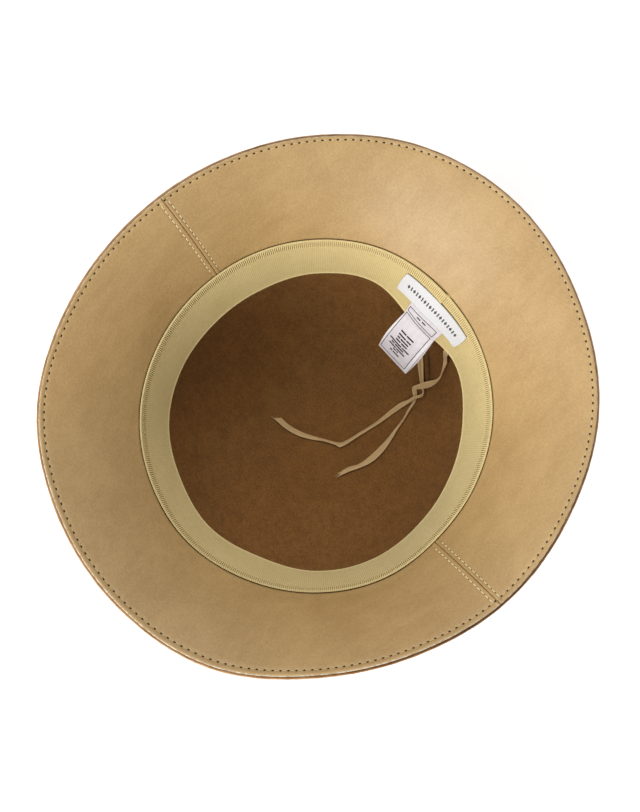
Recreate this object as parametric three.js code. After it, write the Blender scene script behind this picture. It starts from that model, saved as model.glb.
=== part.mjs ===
// A felt cloche hat with a leather underbrim, lying upside down on the tip of its crown.
// Millimetres. +Z is up, out of the head opening. The front of the hat faces -Y and the back +Y.
// The origin is on the crown's axis, on the face that the crown rests on.

import * as THREE from 'three';

// Driving dimensions

const OPENING_HEIGHT = 100; // from the resting face to the plane of the head opening
const FELT_THICKNESS = 1.8;
const LEATHER_THICKNESS = 1.2;
const RIBBON_THICKNESS = 0.9;
const WOVEN_LABEL_THICKNESS = 0.5;
const CARE_LABEL_THICKNESS = 0.8;
const TIE_DIAMETER = 1;
const LAYER_GAP = 0.35; // between two layers that touch on the real hat
const LABEL_GAP = 0.65; // between the sweatband and the labels sewn on it

// The hat in sections, one row for each step round it, counted from +X towards the back.
// opening: radius of the leather's inner edge. rim: radius of the brim's edge.
// rise: height of the rim over the opening. ribbon: radius of the sweatband's free edge.
const SECTIONS = [
  { opening: 89.5, rim: 135.0, rise: 41.0, ribbon: 77.0 },
  { opening: 90.0, rim: 137.0, rise: 39.5, ribbon: 76.5 },
  { opening: 91.5, rim: 141.5, rise: 35.5, ribbon: 77.5 },
  { opening: 92.5, rim: 143.0, rise: 35.0, ribbon: 79.5 },
  { opening: 93.0, rim: 146.0, rise: 31.5, ribbon: 73.5 },
  { opening: 93.5, rim: 143.5, rise: 35.5, ribbon: 80.5 },
  { opening: 92.0, rim: 137.0, rise: 42.5, ribbon: 79.0 },
  { opening: 90.5, rim: 132.5, rise: 45.0, ribbon: 76.0 },
  { opening: 89.5, rim: 131.0, rise: 45.5, ribbon: 75.0 },
  { opening: 90.0, rim: 133.5, rise: 43.5, ribbon: 76.5 },
  { opening: 91.5, rim: 139.0, rise: 39.0, ribbon: 78.0 },
  { opening: 92.5, rim: 139.0, rise: 40.5, ribbon: 78.0 },
  { opening: 93.5, rim: 139.5, rise: 41.0, ribbon: 79.5 },
  { opening: 92.5, rim: 139.5, rise: 40.0, ribbon: 78.0 },
  { opening: 92.0, rim: 134.0, rise: 44.0, ribbon: 79.5 },
  { opening: 91.5, rim: 132.5, rise: 45.5, ribbon: 79.0 },
];

// The crown is a quarter of a superellipse, with its tip pressed flat where it rests.
const CROWN_EXPONENT = 2.7;
const CROWN_DEPTH = 102; // of the whole superellipse, a little over the depth that is left
const HEAD_EASE = 1.8; // felt wall behind the leather's inner edge
const BRIM_FLARE = 12; // degrees that the brim is steeper at the opening than on average

const RIBBON_WIDTH = 34;
const RIBBON_ROLL = 1.3; // height of the sweatband's rolled edge over the opening
const RIBBON_INSET = 1.0; // from the leather's inner edge to the sweatband's face

// The two leather panels meet at the sides, close to +X and -X. Each seam's angle is given at the
// opening and at the rim, because it leans a little.
const SEAMS = {
  right: { opening: -2.2, rim: -2.2 },
  left: { opening: 170.1, rim: 171.7 },
};
const SEAM_GAP = 0.4;

// The woven label, as an angle about the axis and a share of the ribbon's width.
const WOVEN_LABEL = { from: 72.6, to: 102.6, upper: 0.18, lower: 0.67 };

// The care label starts on the ribbon under the woven label and hangs on into the crown.
const CARE_LABEL = {
  from: 79.2,
  to: 95.8,
  upper: 0.69,
  rightCorner: [15.0, 54.2, 44.0],
  leftCorner: [-7.1, 55.4, 44.0],
  bow: 1.5,
};

// The ties come out behind the sweatband, fall to the crown's wall, cross twice in a half knot
// and lie on the felt.
const TIE_RIGHT_ROUTE = [
  [24.2, 80.2, 77],
  [23.5, 78.7, 71],
  [22.9, 77.3, 64],
  [22.8, 76.1, 56],
  [23.2, 75.9, 48],
  [23.8, 75.8, 40],
  [24.6, 75.3, 34],
  [25.5, 74.6, 31.2],
  [27, 71.9, 28],
  [28, 68.8, 24.6],
  [27.8, 65.5, 21.5],
  [26.7, 62.4, 18.9],
  [25, 59.8, 17],
  [22.9, 57.5, 14.5],
  [21.6, 55.7, 12.4],
  [22.1, 54.2, 11.2],
  [23.9, 53, 10.7],
  [25.6, 51.8, 10.6],
  [26.7, 49.7, 9.7],
  [27.6, 45.4, 8.1],
  [29.3, 38.9, 6.2],
  [30.2, 32.5, 4.4],
  [31.4, 25.8, 3.3],
  [32, 18.9, 2.8],
  [31.8, 11.3, 2.8],
  [30.1, 4.3, 2.9],
  [27.2, -1.5, 2.9],
  [25.5, -6.9, 2.8],
];
const TIE_LEFT_ROUTE = [
  [1.6, 80.6, 77],
  [1.7, 79.8, 70.5],
  [2, 79.2, 62],
  [2.5, 78.7, 53],
  [3.4, 78, 44],
  [4.8, 76.9, 36.5],
  [6.6, 74.7, 25.5],
  [9.3, 71.7, 22.2],
  [11.8, 69.5, 20.2],
  [15.6, 66.6, 18.1],
  [18.9, 63.8, 16.6],
  [22.1, 61.2, 15.5],
  [24.7, 59.2, 14.8],
  [27, 57.4, 14.7],
  [28, 55.2, 14.2],
  [26.9, 53.1, 13.2],
  [25.6, 51.4, 12],
  [24.2, 48.5, 9.4],
  [22.6, 44.1, 6.6],
  [21.6, 39.3, 4.7],
  [20.9, 34.5, 3.1],
  [20.1, 28.6, 2.8],
  [18.9, 22.8, 2.8],
  [17.4, 16.6, 2.8],
  [16.2, 11.1, 2.9],
  [15, 6.7, 2.8],
  [13.7, 4.7, 2.9],
  [10.7, 2.8, 2.9],
  [5.9, 0.1, 2.8],
  [-0, -3.6, 2.8],
  [-6.4, -6.9, 2.9],
  [-13.8, -9, 2.8],
  [-21.5, -9.5, 2.9],
];

// How finely the walls are divided
const STEPS_AROUND = 64;
const SECTION_SPACING = 360 / STEPS_AROUND;
const FLAT_STEPS = 2;
const DOME_STEPS = 10;
const BRIM_STEPS = 5;
const RIBBON_STEPS = 3;
const LABEL_STEPS_ACROSS = 10;
const CARE_STEPS_ON_RIBBON = 2;
const CARE_STEPS_HANGING = 4;
const TIE_SIDES = 8;
const TIE_STEP_LENGTH = 2.4;

const FINISHES = {
  felt: { color: 0x6a4724, roughness: 0.95, metalness: 0 },
  leather: { color: 0xc09a68, roughness: 0.5, metalness: 0 },
  ribbon: { color: 0xd0bc8a, roughness: 0.85, metalness: 0 },
  label: { color: 0xf2f1f0, roughness: 0.7, metalness: 0 },
  satin: { color: 0xe4dfe4, roughness: 0.4, metalness: 0 },
  tie: { color: 0xb49468, roughness: 0.85, metalness: 0 },
};

const radians = THREE.MathUtils.degToRad;

// Value of a smooth closed curve through the rows of the section table.
function sectionValue(name, degrees) {
  const step = 360 / SECTIONS.length;
  const place = THREE.MathUtils.euclideanModulo(degrees, 360) / step;
  const row = Math.floor(place);
  const t = place - row;
  const value = (offset) => SECTIONS[(row + offset + SECTIONS.length) % SECTIONS.length][name];
  const [before, here, next, after] = [value(-1), value(0), value(1), value(2)];
  const rising = next - before;
  const bending = 2 * before - 5 * here + 4 * next - after;
  const easing = 3 * here - before - 3 * next + after;
  return 0.5 * (2 * here + rising * t + bending * t * t + easing * t * t * t);
}

function section(degrees) {
  const opening = sectionValue('opening', degrees);
  return {
    degrees,
    opening,
    head: opening + HEAD_EASE,
    rim: sectionValue('rim', degrees),
    rise: sectionValue('rise', degrees),
    ribbon: sectionValue('ribbon', degrees),
  };
}

// A meridian point (r outwards, z up) placed round the axis.
function place(point, degrees) {
  const angle = radians(degrees);
  return new THREE.Vector3(point.r * Math.cos(angle), point.r * Math.sin(angle), point.z);
}

// Moves each point of a meridian line to its right-hand side, which is the outside of the hat.
function offsetLine(line, distance) {
  return line.map((point, index) => {
    const before = line[Math.max(index - 1, 0)];
    const after = line[Math.min(index + 1, line.length - 1)];
    const alongR = after.r - before.r;
    const alongZ = after.z - before.z;
    const length = Math.hypot(alongR, alongZ);
    return { r: point.r + (distance * alongZ) / length, z: point.z - (distance * alongR) / length };
  });
}

// Inside of the crown, from the axis out to the head opening.
function crownLine(at) {
  const power = 2 / CROWN_EXPONENT;
  const flatShare = ((OPENING_HEIGHT - FELT_THICKNESS) / CROWN_DEPTH) ** (1 / power);
  const flatAngle = Math.asin(flatShare);
  const flatRadius = at.head * Math.cos(flatAngle) ** power;
  const line = [];
  for (let step = 0; step < FLAT_STEPS; step += 1) {
    line.push({ r: (flatRadius * step) / FLAT_STEPS, z: FELT_THICKNESS });
  }
  for (let step = 0; step <= DOME_STEPS; step += 1) {
    const angle = flatAngle * (1 - step / DOME_STEPS);
    const depth = CROWN_DEPTH * Math.sin(angle) ** power;
    line.push({ r: at.head * Math.cos(angle) ** power, z: OPENING_HEIGHT - depth });
  }
  return line;
}

// Inner side of the felt brim, from the head opening out to the rim, as one bent line.
function brimLine(at) {
  const reach = at.rim - at.head;
  const slope = Math.atan2(at.rise, reach);
  const bend = radians(BRIM_FLARE);
  const arm = Math.hypot(reach, at.rise) / (2 * Math.cos(bend));
  const control = {
    r: at.head + arm * Math.cos(slope + bend),
    z: OPENING_HEIGHT + arm * Math.sin(slope + bend),
  };
  const line = [];
  for (let step = 0; step <= BRIM_STEPS; step += 1) {
    const t = step / BRIM_STEPS;
    const weights = [(1 - t) * (1 - t), 2 * t * (1 - t), t * t];
    line.push({
      r: weights[0] * at.head + weights[1] * control.r + weights[2] * at.rim,
      z: weights[0] * OPENING_HEIGHT + weights[1] * control.z + weights[2] * (OPENING_HEIGHT + at.rise),
    });
  }
  return line;
}

// A point of the sweatband: share is 0 at its rolled edge and 1 at its free edge,
// and proud is how far it stands off the ribbon's face, towards the axis.
function ribbonPoint(degrees, share, proud) {
  const at = section(degrees);
  const top = at.opening - RIBBON_INSET;
  const reach = top - at.ribbon;
  const drop = Math.sqrt(RIBBON_WIDTH ** 2 - reach ** 2);
  return place(
    {
      r: top - reach * share - (proud * drop) / RIBBON_WIDTH,
      z: OPENING_HEIGHT + RIBBON_ROLL - drop * share + (proud * reach) / RIBBON_WIDTH,
    },
    degrees,
  );
}

// A closed wall between two grids of points of the same size. Each grid is a list of rows.
// Points that fall together, as at the crown's tip, are shared, and empty triangles left out.
function wallGeometry(front, back, closedAround) {
  const positions = [];
  const known = new Map();
  const indexOf = (point) => {
    const key = point.toArray().map((value) => Math.round(value * 1e4)).join(',');
    if (!known.has(key)) {
      known.set(key, positions.length / 3);
      positions.push(point.x, point.y, point.z);
    }
    return known.get(key);
  };
  const indices = [];
  const triangle = (a, b, c) => {
    if (a !== b && b !== c && c !== a) indices.push(a, b, c);
  };
  const quad = (a, b, c, d) => {
    const [i, j, k, l] = [a, b, c, d].map(indexOf);
    triangle(i, j, k);
    triangle(i, k, l);
  };
  const rows = front.length;
  const columns = front[0].length;
  const lastRow = closedAround ? rows : rows - 1;
  for (let row = 0; row < lastRow; row += 1) {
    const next = (row + 1) % rows;
    for (let column = 0; column < columns - 1; column += 1) {
      quad(front[row][column], front[next][column], front[next][column + 1], front[row][column + 1]);
      quad(back[row][column], back[row][column + 1], back[next][column + 1], back[next][column]);
    }
    quad(front[row][0], back[row][0], back[next][0], front[next][0]);
    const end = columns - 1;
    quad(front[row][end], front[next][end], back[next][end], back[row][end]);
  }
  if (!closedAround) {
    const end = rows - 1;
    for (let column = 0; column < columns - 1; column += 1) {
      quad(front[0][column], front[0][column + 1], back[0][column + 1], back[0][column]);
      quad(front[end][column], back[end][column], back[end][column + 1], front[end][column + 1]);
    }
  }
  const geometry = new THREE.BufferGeometry();
  geometry.setAttribute('position', new THREE.Float32BufferAttribute(positions, 3));
  geometry.setIndex(indices);
  return facingOut(geometry);
}

// Turns the triangles round if the closed surface faces inwards.
function facingOut(geometry) {
  const position = geometry.attributes.position;
  const index = geometry.index.array;
  const corner = (k) => new THREE.Vector3().fromBufferAttribute(position, index[k]);
  let volume = 0;
  for (let k = 0; k < index.length; k += 3) {
    volume += corner(k).dot(corner(k + 1).cross(corner(k + 2)));
  }
  if (volume < 0) {
    for (let k = 0; k < index.length; k += 3) [index[k], index[k + 1]] = [index[k + 1], index[k]];
  }
  geometry.computeVertexNormals();
  return geometry;
}

function piece(name, geometry, finish) {
  const mesh = new THREE.Mesh(geometry, new THREE.MeshStandardMaterial(finish));
  mesh.name = name;
  return mesh;
}

function stepsBetween(from, to, steps) {
  return Array.from({ length: steps + 1 }, (_, step) => from + ((to - from) * step) / steps);
}

// The same seam, counted one turn further on.
function aTurnOn(seam) {
  return { opening: seam.opening + 360, rim: seam.rim + 360 };
}

// Angles of the sections round the whole hat, without the last one, which is the first again.
function anglesAround() {
  return stepsBetween(0, 360, STEPS_AROUND).slice(0, STEPS_AROUND);
}

function feltBody() {
  const inside = [];
  const outside = [];
  for (const degrees of anglesAround()) {
    const at = section(degrees);
    const line = [...crownLine(at), ...brimLine(at).slice(1)];
    const outer = offsetLine(line, FELT_THICKNESS);
    for (let index = 0; index <= FLAT_STEPS; index += 1) outer[index] = { r: line[index].r, z: 0 };
    inside.push(line.map((point) => place(point, degrees)));
    outside.push(outer.map((point) => place(point, degrees)));
  }
  return piece('felt_body', wallGeometry(inside, outside, true), FINISHES.felt);
}

// A point of the leather, on the flat facet between two sections, so that it stays parallel to the felt.
function leatherPoint(degrees, brimStep, height) {
  const before = Math.floor(degrees / SECTION_SPACING) * SECTION_SPACING;
  const [here, next] = [before, before + SECTION_SPACING].map((at) =>
    place(offsetLine(brimLine(section(at)), -height)[brimStep], at),
  );
  return here.lerp(next, (degrees - before) / SECTION_SPACING);
}

// The end of a leather panel, which stands back from its seam by half the gap. side is 1 where the
// panel starts at the seam and -1 where it ends there.
function seamColumn(seam, side, height) {
  return stepsBetween(0, 1, BRIM_STEPS).map((share, brimStep) => {
    const degrees = THREE.MathUtils.lerp(seam.opening, seam.rim, share);
    const onSeam = leatherPoint(degrees, brimStep, height);
    const standBack = THREE.MathUtils.radToDeg(SEAM_GAP / 2 / Math.hypot(onSeam.x, onSeam.y));
    return leatherPoint(degrees + side * standBack, brimStep, height);
  });
}

// A leather panel between two seams, with the felt's own sections between them.
function leatherPanel(name, from, to) {
  const first = Math.ceil(Math.max(from.opening, from.rim) / SECTION_SPACING);
  const last = Math.floor(Math.min(to.opening, to.rim) / SECTION_SPACING);
  const grid = (height) => {
    const middle = stepsBetween(first, last, last - first).map((number) =>
      stepsBetween(0, BRIM_STEPS, BRIM_STEPS).map((brimStep) =>
        leatherPoint(number * SECTION_SPACING, brimStep, height),
      ),
    );
    return [seamColumn(from, 1, height), ...middle, seamColumn(to, -1, height)];
  };
  const geometry = wallGeometry(grid(LAYER_GAP + LEATHER_THICKNESS), grid(LAYER_GAP), false);
  return piece(name, geometry, FINISHES.leather);
}

function sweatband() {
  const shares = stepsBetween(0, 1, RIBBON_STEPS);
  const grid = (proud) =>
    anglesAround().map((degrees) => shares.map((share) => ribbonPoint(degrees, share, proud)));
  return piece('sweatband', wallGeometry(grid(0), grid(-RIBBON_THICKNESS), true), FINISHES.ribbon);
}

function wovenLabel() {
  const { from, to, upper, lower } = WOVEN_LABEL;
  const shares = stepsBetween(upper, lower, 2);
  const grid = (proud) =>
    stepsBetween(from, to, LABEL_STEPS_ACROSS).map((degrees) =>
      shares.map((share) => ribbonPoint(degrees, share, proud)),
    );
  const geometry = wallGeometry(grid(LABEL_GAP), grid(LABEL_GAP + WOVEN_LABEL_THICKNESS), false);
  return piece('woven_label', geometry, FINISHES.label);
}

// The care label follows the ribbon down to its free edge and then hangs on from there.
function careLabel() {
  const { from, to, upper, rightCorner, leftCorner, bow } = CARE_LABEL;
  const right = new THREE.Vector3(...rightCorner);
  const left = new THREE.Vector3(...leftCorner);
  const across = left.clone().sub(right).normalize();
  const grid = (proud) =>
    stepsBetween(from, to, LABEL_STEPS_ACROSS).map((degrees, column) => {
      const points = stepsBetween(upper, 1, CARE_STEPS_ON_RIBBON).map((share) =>
        ribbonPoint(degrees, share, proud),
      );
      const edge = ribbonPoint(degrees, 1, LABEL_GAP);
      const end = right.clone().lerp(left, column / LABEL_STEPS_ACROSS);
      const normal = across.clone().cross(end.clone().sub(edge)).normalize();
      for (const share of stepsBetween(0, 1, CARE_STEPS_HANGING).slice(1)) {
        const swing = bow * Math.sin(Math.PI * share);
        const point = edge.clone().lerp(end, share);
        points.push(point.addScaledVector(normal, proud - LABEL_GAP + swing));
      }
      return points;
    });
  const geometry = wallGeometry(grid(LABEL_GAP), grid(LABEL_GAP + CARE_LABEL_THICKNESS), false);
  return piece('care_label', geometry, FINISHES.satin);
}

function tie(name, route) {
  const path = new THREE.CatmullRomCurve3(route.map((point) => new THREE.Vector3(...point)));
  const outline = stepsBetween(0, 360, TIE_SIDES).slice(0, TIE_SIDES).map((degrees) => {
    const angle = radians(degrees);
    return new THREE.Vector2(Math.cos(angle), Math.sin(angle)).multiplyScalar(TIE_DIAMETER / 2);
  });
  const geometry = new THREE.ExtrudeGeometry(new THREE.Shape(outline), {
    extrudePath: path,
    steps: Math.round(path.getLength() / TIE_STEP_LENGTH),
  });
  return piece(name, geometry, FINISHES.tie);
}

const hat = new THREE.Group();
hat.add(feltBody());
hat.add(leatherPanel('brim_leather_back', SEAMS.right, SEAMS.left));
hat.add(leatherPanel('brim_leather_front', SEAMS.left, aTurnOn(SEAMS.right)));
hat.add(sweatband());
hat.add(wovenLabel());
hat.add(careLabel());
hat.add(tie('tie_right', TIE_RIGHT_ROUTE));
hat.add(tie('tie_left', TIE_LEFT_ROUTE));

export default hat;
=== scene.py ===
"""A felt cloche hat with a leather underbrim, lying upside down on the tip of its crown.

Metres. +Z is up, out of the head opening. The front of the hat faces -Y and the back +Y. The origin
is on the crown's axis, on the face that the crown rests on. Angles are about that axis, from +X
towards the back.
"""

import logging
import math
from collections.abc import Callable
from dataclasses import dataclass, field
from enum import Enum
from functools import cached_property
from typing import NamedTuple

import bmesh
import bpy
import numpy as np
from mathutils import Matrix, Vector, noise


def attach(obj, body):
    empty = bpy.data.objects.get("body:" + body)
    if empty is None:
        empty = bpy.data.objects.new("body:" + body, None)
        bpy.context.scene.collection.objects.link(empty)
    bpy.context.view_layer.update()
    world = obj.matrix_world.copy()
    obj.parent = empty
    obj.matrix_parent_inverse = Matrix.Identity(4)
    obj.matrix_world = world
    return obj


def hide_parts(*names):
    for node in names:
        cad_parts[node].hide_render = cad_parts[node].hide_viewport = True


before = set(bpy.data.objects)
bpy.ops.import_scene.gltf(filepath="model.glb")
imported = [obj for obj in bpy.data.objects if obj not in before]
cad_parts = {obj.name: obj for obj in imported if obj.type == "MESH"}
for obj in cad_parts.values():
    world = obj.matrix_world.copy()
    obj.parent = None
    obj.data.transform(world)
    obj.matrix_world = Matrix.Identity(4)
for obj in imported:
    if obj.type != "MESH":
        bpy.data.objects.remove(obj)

LOG = logging.getLogger("cloche_hat")
BODY = "root"
FULL_TURN = 2 * math.pi
SAME_POINT = 1e-6
NO_LENGTH = 1e-7
NO_THREAD_RUNS_THIS_WAY = (0.31, 0.42, 0.85)
THREAD_DIP = 0.6
THREAD_STEPS = 7
THREAD_SIDES = 6
HOLE_SEGMENTS = 10
HOLE_RINGS = 6
HOLE_SHAPE = (1.0, 0.75, 0.22)
Colour = tuple[float, float, float, float]
Surface = Callable[[np.ndarray, np.ndarray, float], np.ndarray]


# Shape of the hat


class Section(NamedTuple):
    """One section of the hat.

    opening is the radius of the leather's inner edge, rim that of the brim's edge, rise the height of
    the rim over the opening, and ribbon the radius of the sweatband's free edge.
    """

    opening: float
    rim: float
    rise: float
    ribbon: float


SECTIONS = (
    Section(0.0895, 0.1350, 0.0410, 0.0770),
    Section(0.0900, 0.1370, 0.0395, 0.0765),
    Section(0.0915, 0.1415, 0.0355, 0.0775),
    Section(0.0925, 0.1430, 0.0350, 0.0795),
    Section(0.0930, 0.1460, 0.0315, 0.0735),
    Section(0.0935, 0.1435, 0.0355, 0.0805),
    Section(0.0920, 0.1370, 0.0425, 0.0790),
    Section(0.0905, 0.1325, 0.0450, 0.0760),
    Section(0.0895, 0.1310, 0.0455, 0.0750),
    Section(0.0900, 0.1335, 0.0435, 0.0765),
    Section(0.0915, 0.1390, 0.0390, 0.0780),
    Section(0.0925, 0.1390, 0.0405, 0.0780),
    Section(0.0935, 0.1395, 0.0410, 0.0795),
    Section(0.0925, 0.1395, 0.0400, 0.0780),
    Section(0.0920, 0.1340, 0.0440, 0.0795),
    Section(0.0915, 0.1325, 0.0455, 0.0790),
)


class Seam(NamedTuple):
    """A side seam of the leather: its angle at the head opening and its angle at the rim."""

    opening: float
    rim: float

    def angle(self, share: np.ndarray | float) -> np.ndarray | float:
        """Its angle at a place between the opening, 0, and the rim, 1."""
        return self.opening + (self.rim - self.opening) * share


SEAM_RIGHT = Seam(math.radians(-2.2), math.radians(-2.2))
SEAM_LEFT = Seam(math.radians(170.1), math.radians(171.7))


def smooth_rows(rows: np.ndarray, places: np.ndarray, closed: bool = False) -> np.ndarray:
    """Reads a table along the smooth curve that runs through its rows.

    Args:
        rows: the table, one row for each step.
        places: row numbers to read at, whole or not.
        closed: True where the last row is followed by the first.

    Returns:
        One row for each place.
    """
    rows = np.asarray(rows, float)
    steps = np.floor(places).astype(int)
    if closed:
        neighbours = [rows[(steps + offset) % len(rows)] for offset in (-1, 0, 1, 2)]
    else:
        steps = np.clip(steps, 0, len(rows) - 2)
        longer = np.vstack([2 * rows[0] - rows[1], rows, 2 * rows[-1] - rows[-2]])
        neighbours = [longer[steps + offset] for offset in (0, 1, 2, 3)]
    before, here, after, beyond = neighbours
    t = (places - steps)[:, None]
    bending = 2 * before - 5 * here + 4 * after - beyond
    easing = 3 * here - before - 3 * after + beyond
    return 0.5 * (2 * here + (after - before) * t + bending * t**2 + easing * t**3)


def bell(distance: np.ndarray, width: float) -> np.ndarray:
    """A soft bump that is 1 at no distance and dies away over the width."""
    return np.exp(-((distance / width) ** 2))


def unevenness(points: np.ndarray, grain: float, seed: float) -> np.ndarray:
    """Smooth noise between about -1 and 1 at each point.

    Args:
        points: an array of points, its last axis x, y, z.
        grain: the size of one wave.
        seed: shifts the noise, so that two surfaces differ.

    Returns:
        One value for each point.
    """
    flat = points.reshape(-1, 3) / grain + seed
    values = [noise.noise(Vector(point)) for point in flat]
    return np.array(values).reshape(points.shape[:-1])


@dataclass(frozen=True)
class HatShape:
    """The lines that the felt, the leather and the sweatband follow."""

    opening_height: float = 0.100
    felt: float = 0.0018
    leather: float = 0.0012
    ribbon: float = 0.0009
    layer_gap: float = 0.00035
    crown_exponent: float = 2.7
    crown_depth: float = 0.102
    close_turns: tuple[float, float] = (math.radians(34), math.radians(55))
    head_ease: float = 0.0018
    brim_flare: float = math.radians(12)
    brim_slant: float = 0.062
    ribbon_width: float = 0.034
    ribbon_roll: float = 0.0013
    ribbon_inset: float = 0.0010

    def sections(self, angle: np.ndarray) -> tuple[np.ndarray, ...]:
        """The columns of the section table at these angles: opening, rim, rise and ribbon.

        Args:
            angle: angles about the axis.

        Returns:
            One array for each column, of the size of the angles.
        """
        places = np.mod(angle, FULL_TURN).ravel() / FULL_TURN * len(SECTIONS)
        columns = smooth_rows(np.array(SECTIONS), places, closed=True).T
        return tuple(column.reshape(angle.shape) for column in columns)

    def crown_line(self, angle: np.ndarray, flat_steps: int, dome_steps: int) -> np.ndarray:
        """Inside of the crown at each angle, from the axis out to the head opening.

        Args:
            angle: angles about the axis.
            flat_steps: points across the flattened tip.
            dome_steps: steps up the rest of the crown.

        Returns:
            An array of angles by steps by two: the radius and the height.
        """
        head = self.sections(angle)[0] + self.head_ease
        power = 2 / self.crown_exponent
        flat_share = ((self.opening_height - self.felt) / self.crown_depth) ** (1 / power)
        flat_turn = math.asin(flat_share)
        turn = flat_turn * np.linspace(0, 1, dome_steps + 1)
        between = (turn[1:] + turn[:-1]) / 2
        close = (between > self.close_turns[0]) & (between < self.close_turns[1])
        turn = np.sort(np.concatenate([turn, between[close]]))[::-1]
        flat = np.linspace(0, math.cos(flat_turn) ** power, flat_steps, endpoint=False)
        radius = np.concatenate([flat, np.cos(turn) ** power])
        depth = np.concatenate([np.full(flat_steps, flat_share**power), np.sin(turn) ** power])
        height = np.broadcast_to(self.opening_height - self.crown_depth * depth, (len(angle), len(depth)))
        return np.stack([head[:, None] * radius, height], axis=-1)

    def brim_point(self, angle: np.ndarray, share: np.ndarray) -> np.ndarray:
        """Inner side of the felt brim, for arrays of one shape.

        Args:
            angle: angles about the axis.
            share: places up the brim, 0 at the head opening and 1 at the rim.

        Returns:
            The radius and the height, on a last axis of two.
        """
        opening, rim, rise, _ = self.sections(angle)
        head = opening + self.head_ease
        steep = np.arctan2(rise, rim - head) + self.brim_flare
        arm = np.hypot(rim - head, rise) * share * (1 - share) / math.cos(self.brim_flare)
        radius = head + arm * np.cos(steep) + share**2 * (rim - head)
        height = self.opening_height + arm * np.sin(steep) + share**2 * rise
        return np.stack([radius, height], axis=-1)

    def over_brim(self, angle: np.ndarray, share: np.ndarray, height: np.ndarray | float) -> np.ndarray:
        """Points at a height over the inner side of the felt brim, for arrays of one shape.

        Args:
            angle: angles about the axis.
            share: places up the brim, 0 at the head opening and 1 at the rim.
            height: how far the points stand off the felt.

        Returns:
            Points, x, y and z on the last axis.
        """
        step = 0.004
        here = self.brim_point(angle, share)
        along = self.brim_point(angle, share + step) - self.brim_point(angle, share - step)
        along /= np.linalg.norm(along, axis=-1)[..., None]
        radius = here[..., 0] - along[..., 1] * height
        level = here[..., 1] + along[..., 0] * height
        return np.stack([radius * np.cos(angle), radius * np.sin(angle), level], axis=-1)

    def ribbon_point(self, angle: np.ndarray, across: np.ndarray, proud: np.ndarray) -> np.ndarray:
        """Points of the sweatband, for arrays of one shape.

        Args:
            angle: angles about the axis.
            across: distance down the ribbon, 0 at its rolled edge.
            proud: how far the point stands off the ribbon's face, towards the axis.

        Returns:
            Points, x, y and z on the last axis.
        """
        opening, _, _, free = self.sections(angle)
        top = opening - self.ribbon_inset
        reach = (top - free) / self.ribbon_width
        drop = np.sqrt(1 - reach**2)
        radius = top - reach * across - proud * drop
        height = self.opening_height + self.ribbon_roll - drop * across + proud * reach
        return np.stack([radius * np.cos(angle), radius * np.sin(angle), height], axis=-1)

    def crown_facing(self, points: np.ndarray) -> np.ndarray:
        """Directions off the crown's inner wall, into the hollow, at points on or near it.

        Args:
            points: rows of x, y and z.

        Returns:
            A direction of length one for each point.
        """
        radius = np.hypot(points[:, 0], points[:, 1])
        angle = np.arctan2(points[:, 1], points[:, 0])
        head = self.sections(angle)[0] + self.head_ease
        depth = self.opening_height - points[:, 2]
        power = self.crown_exponent - 1
        inwards = (radius / head) ** power / head
        upwards = (depth / self.crown_depth) ** power / self.crown_depth
        facing = np.stack([-inwards * np.cos(angle), -inwards * np.sin(angle), upwards], axis=-1)
        return facing / np.linalg.norm(facing, axis=1)[:, None]


def raised(line: np.ndarray, height: np.ndarray | float) -> np.ndarray:
    """Moves the points of meridian lines to their inner side, which is the wearer's.

    Args:
        line: an array of angles by steps by two.
        height: how far each point moves.

    Returns:
        The moved points, in an array of the same size.
    """
    along = np.gradient(line, axis=1)
    along /= np.linalg.norm(along, axis=-1)[..., None]
    inward = np.stack([-along[..., 1], along[..., 0]], axis=-1)
    return line + inward * np.asarray(height)[..., None]


def turned(line: np.ndarray, angle: np.ndarray) -> np.ndarray:
    """Places meridian points (radius, height) round the axis, one line for each angle or point.

    Args:
        line: the points, radius and height on the last axis.
        angle: where each line or point goes.

    Returns:
        Points, x, y and z on the last axis.
    """
    angle = angle.reshape(angle.shape + (1,) * (line.ndim - 1 - angle.ndim))
    radius, height = line[..., 0], line[..., 1]
    return np.stack([radius * np.cos(angle), radius * np.sin(angle), height], axis=-1)


# Meshes


def add_object(name: str, data: bpy.types.ID) -> bpy.types.Object:
    """Makes an object of a mesh, a light or a camera, and puts it in the scene.

    Args:
        name: the object's name.
        data: what it shows.

    Returns:
        The object.
    """
    thing = bpy.data.objects.new(name, data)
    bpy.context.scene.collection.objects.link(thing)
    return thing


def quads_of(a: np.ndarray, b: np.ndarray, c: np.ndarray, d: np.ndarray) -> np.ndarray:
    """Quads from four grids of the numbers of their corners."""
    return np.stack([a, b, c, d], axis=-1).reshape(-1, 4)


def wall_quads(front: np.ndarray, back: np.ndarray, closed: bool) -> list[np.ndarray]:
    """The quads of a wall between two grids of point numbers.

    Args:
        front: the point numbers of the outer face.
        back: those of the other face.
        closed: True where the last row is the first again.

    Returns:
        The outer face, the other face, the edges along the first and the last column, and the two
        ends of a wall that isn't closed.
    """
    parts = [
        quads_of(front[:-1, :-1], front[1:, :-1], front[1:, 1:], front[:-1, 1:]),
        quads_of(back[:-1, :-1], back[:-1, 1:], back[1:, 1:], back[1:, :-1]),
        quads_of(front[:-1, 0], back[:-1, 0], back[1:, 0], front[1:, 0]),
        quads_of(front[:-1, -1], front[1:, -1], back[1:, -1], back[:-1, -1]),
    ]
    if not closed:
        parts.append(quads_of(front[0, :-1], front[0, 1:], back[0, 1:], back[0, :-1]))
        parts.append(quads_of(front[-1, :-1], back[-1, :-1], back[-1, 1:], front[-1, 1:]))
    return parts


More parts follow.
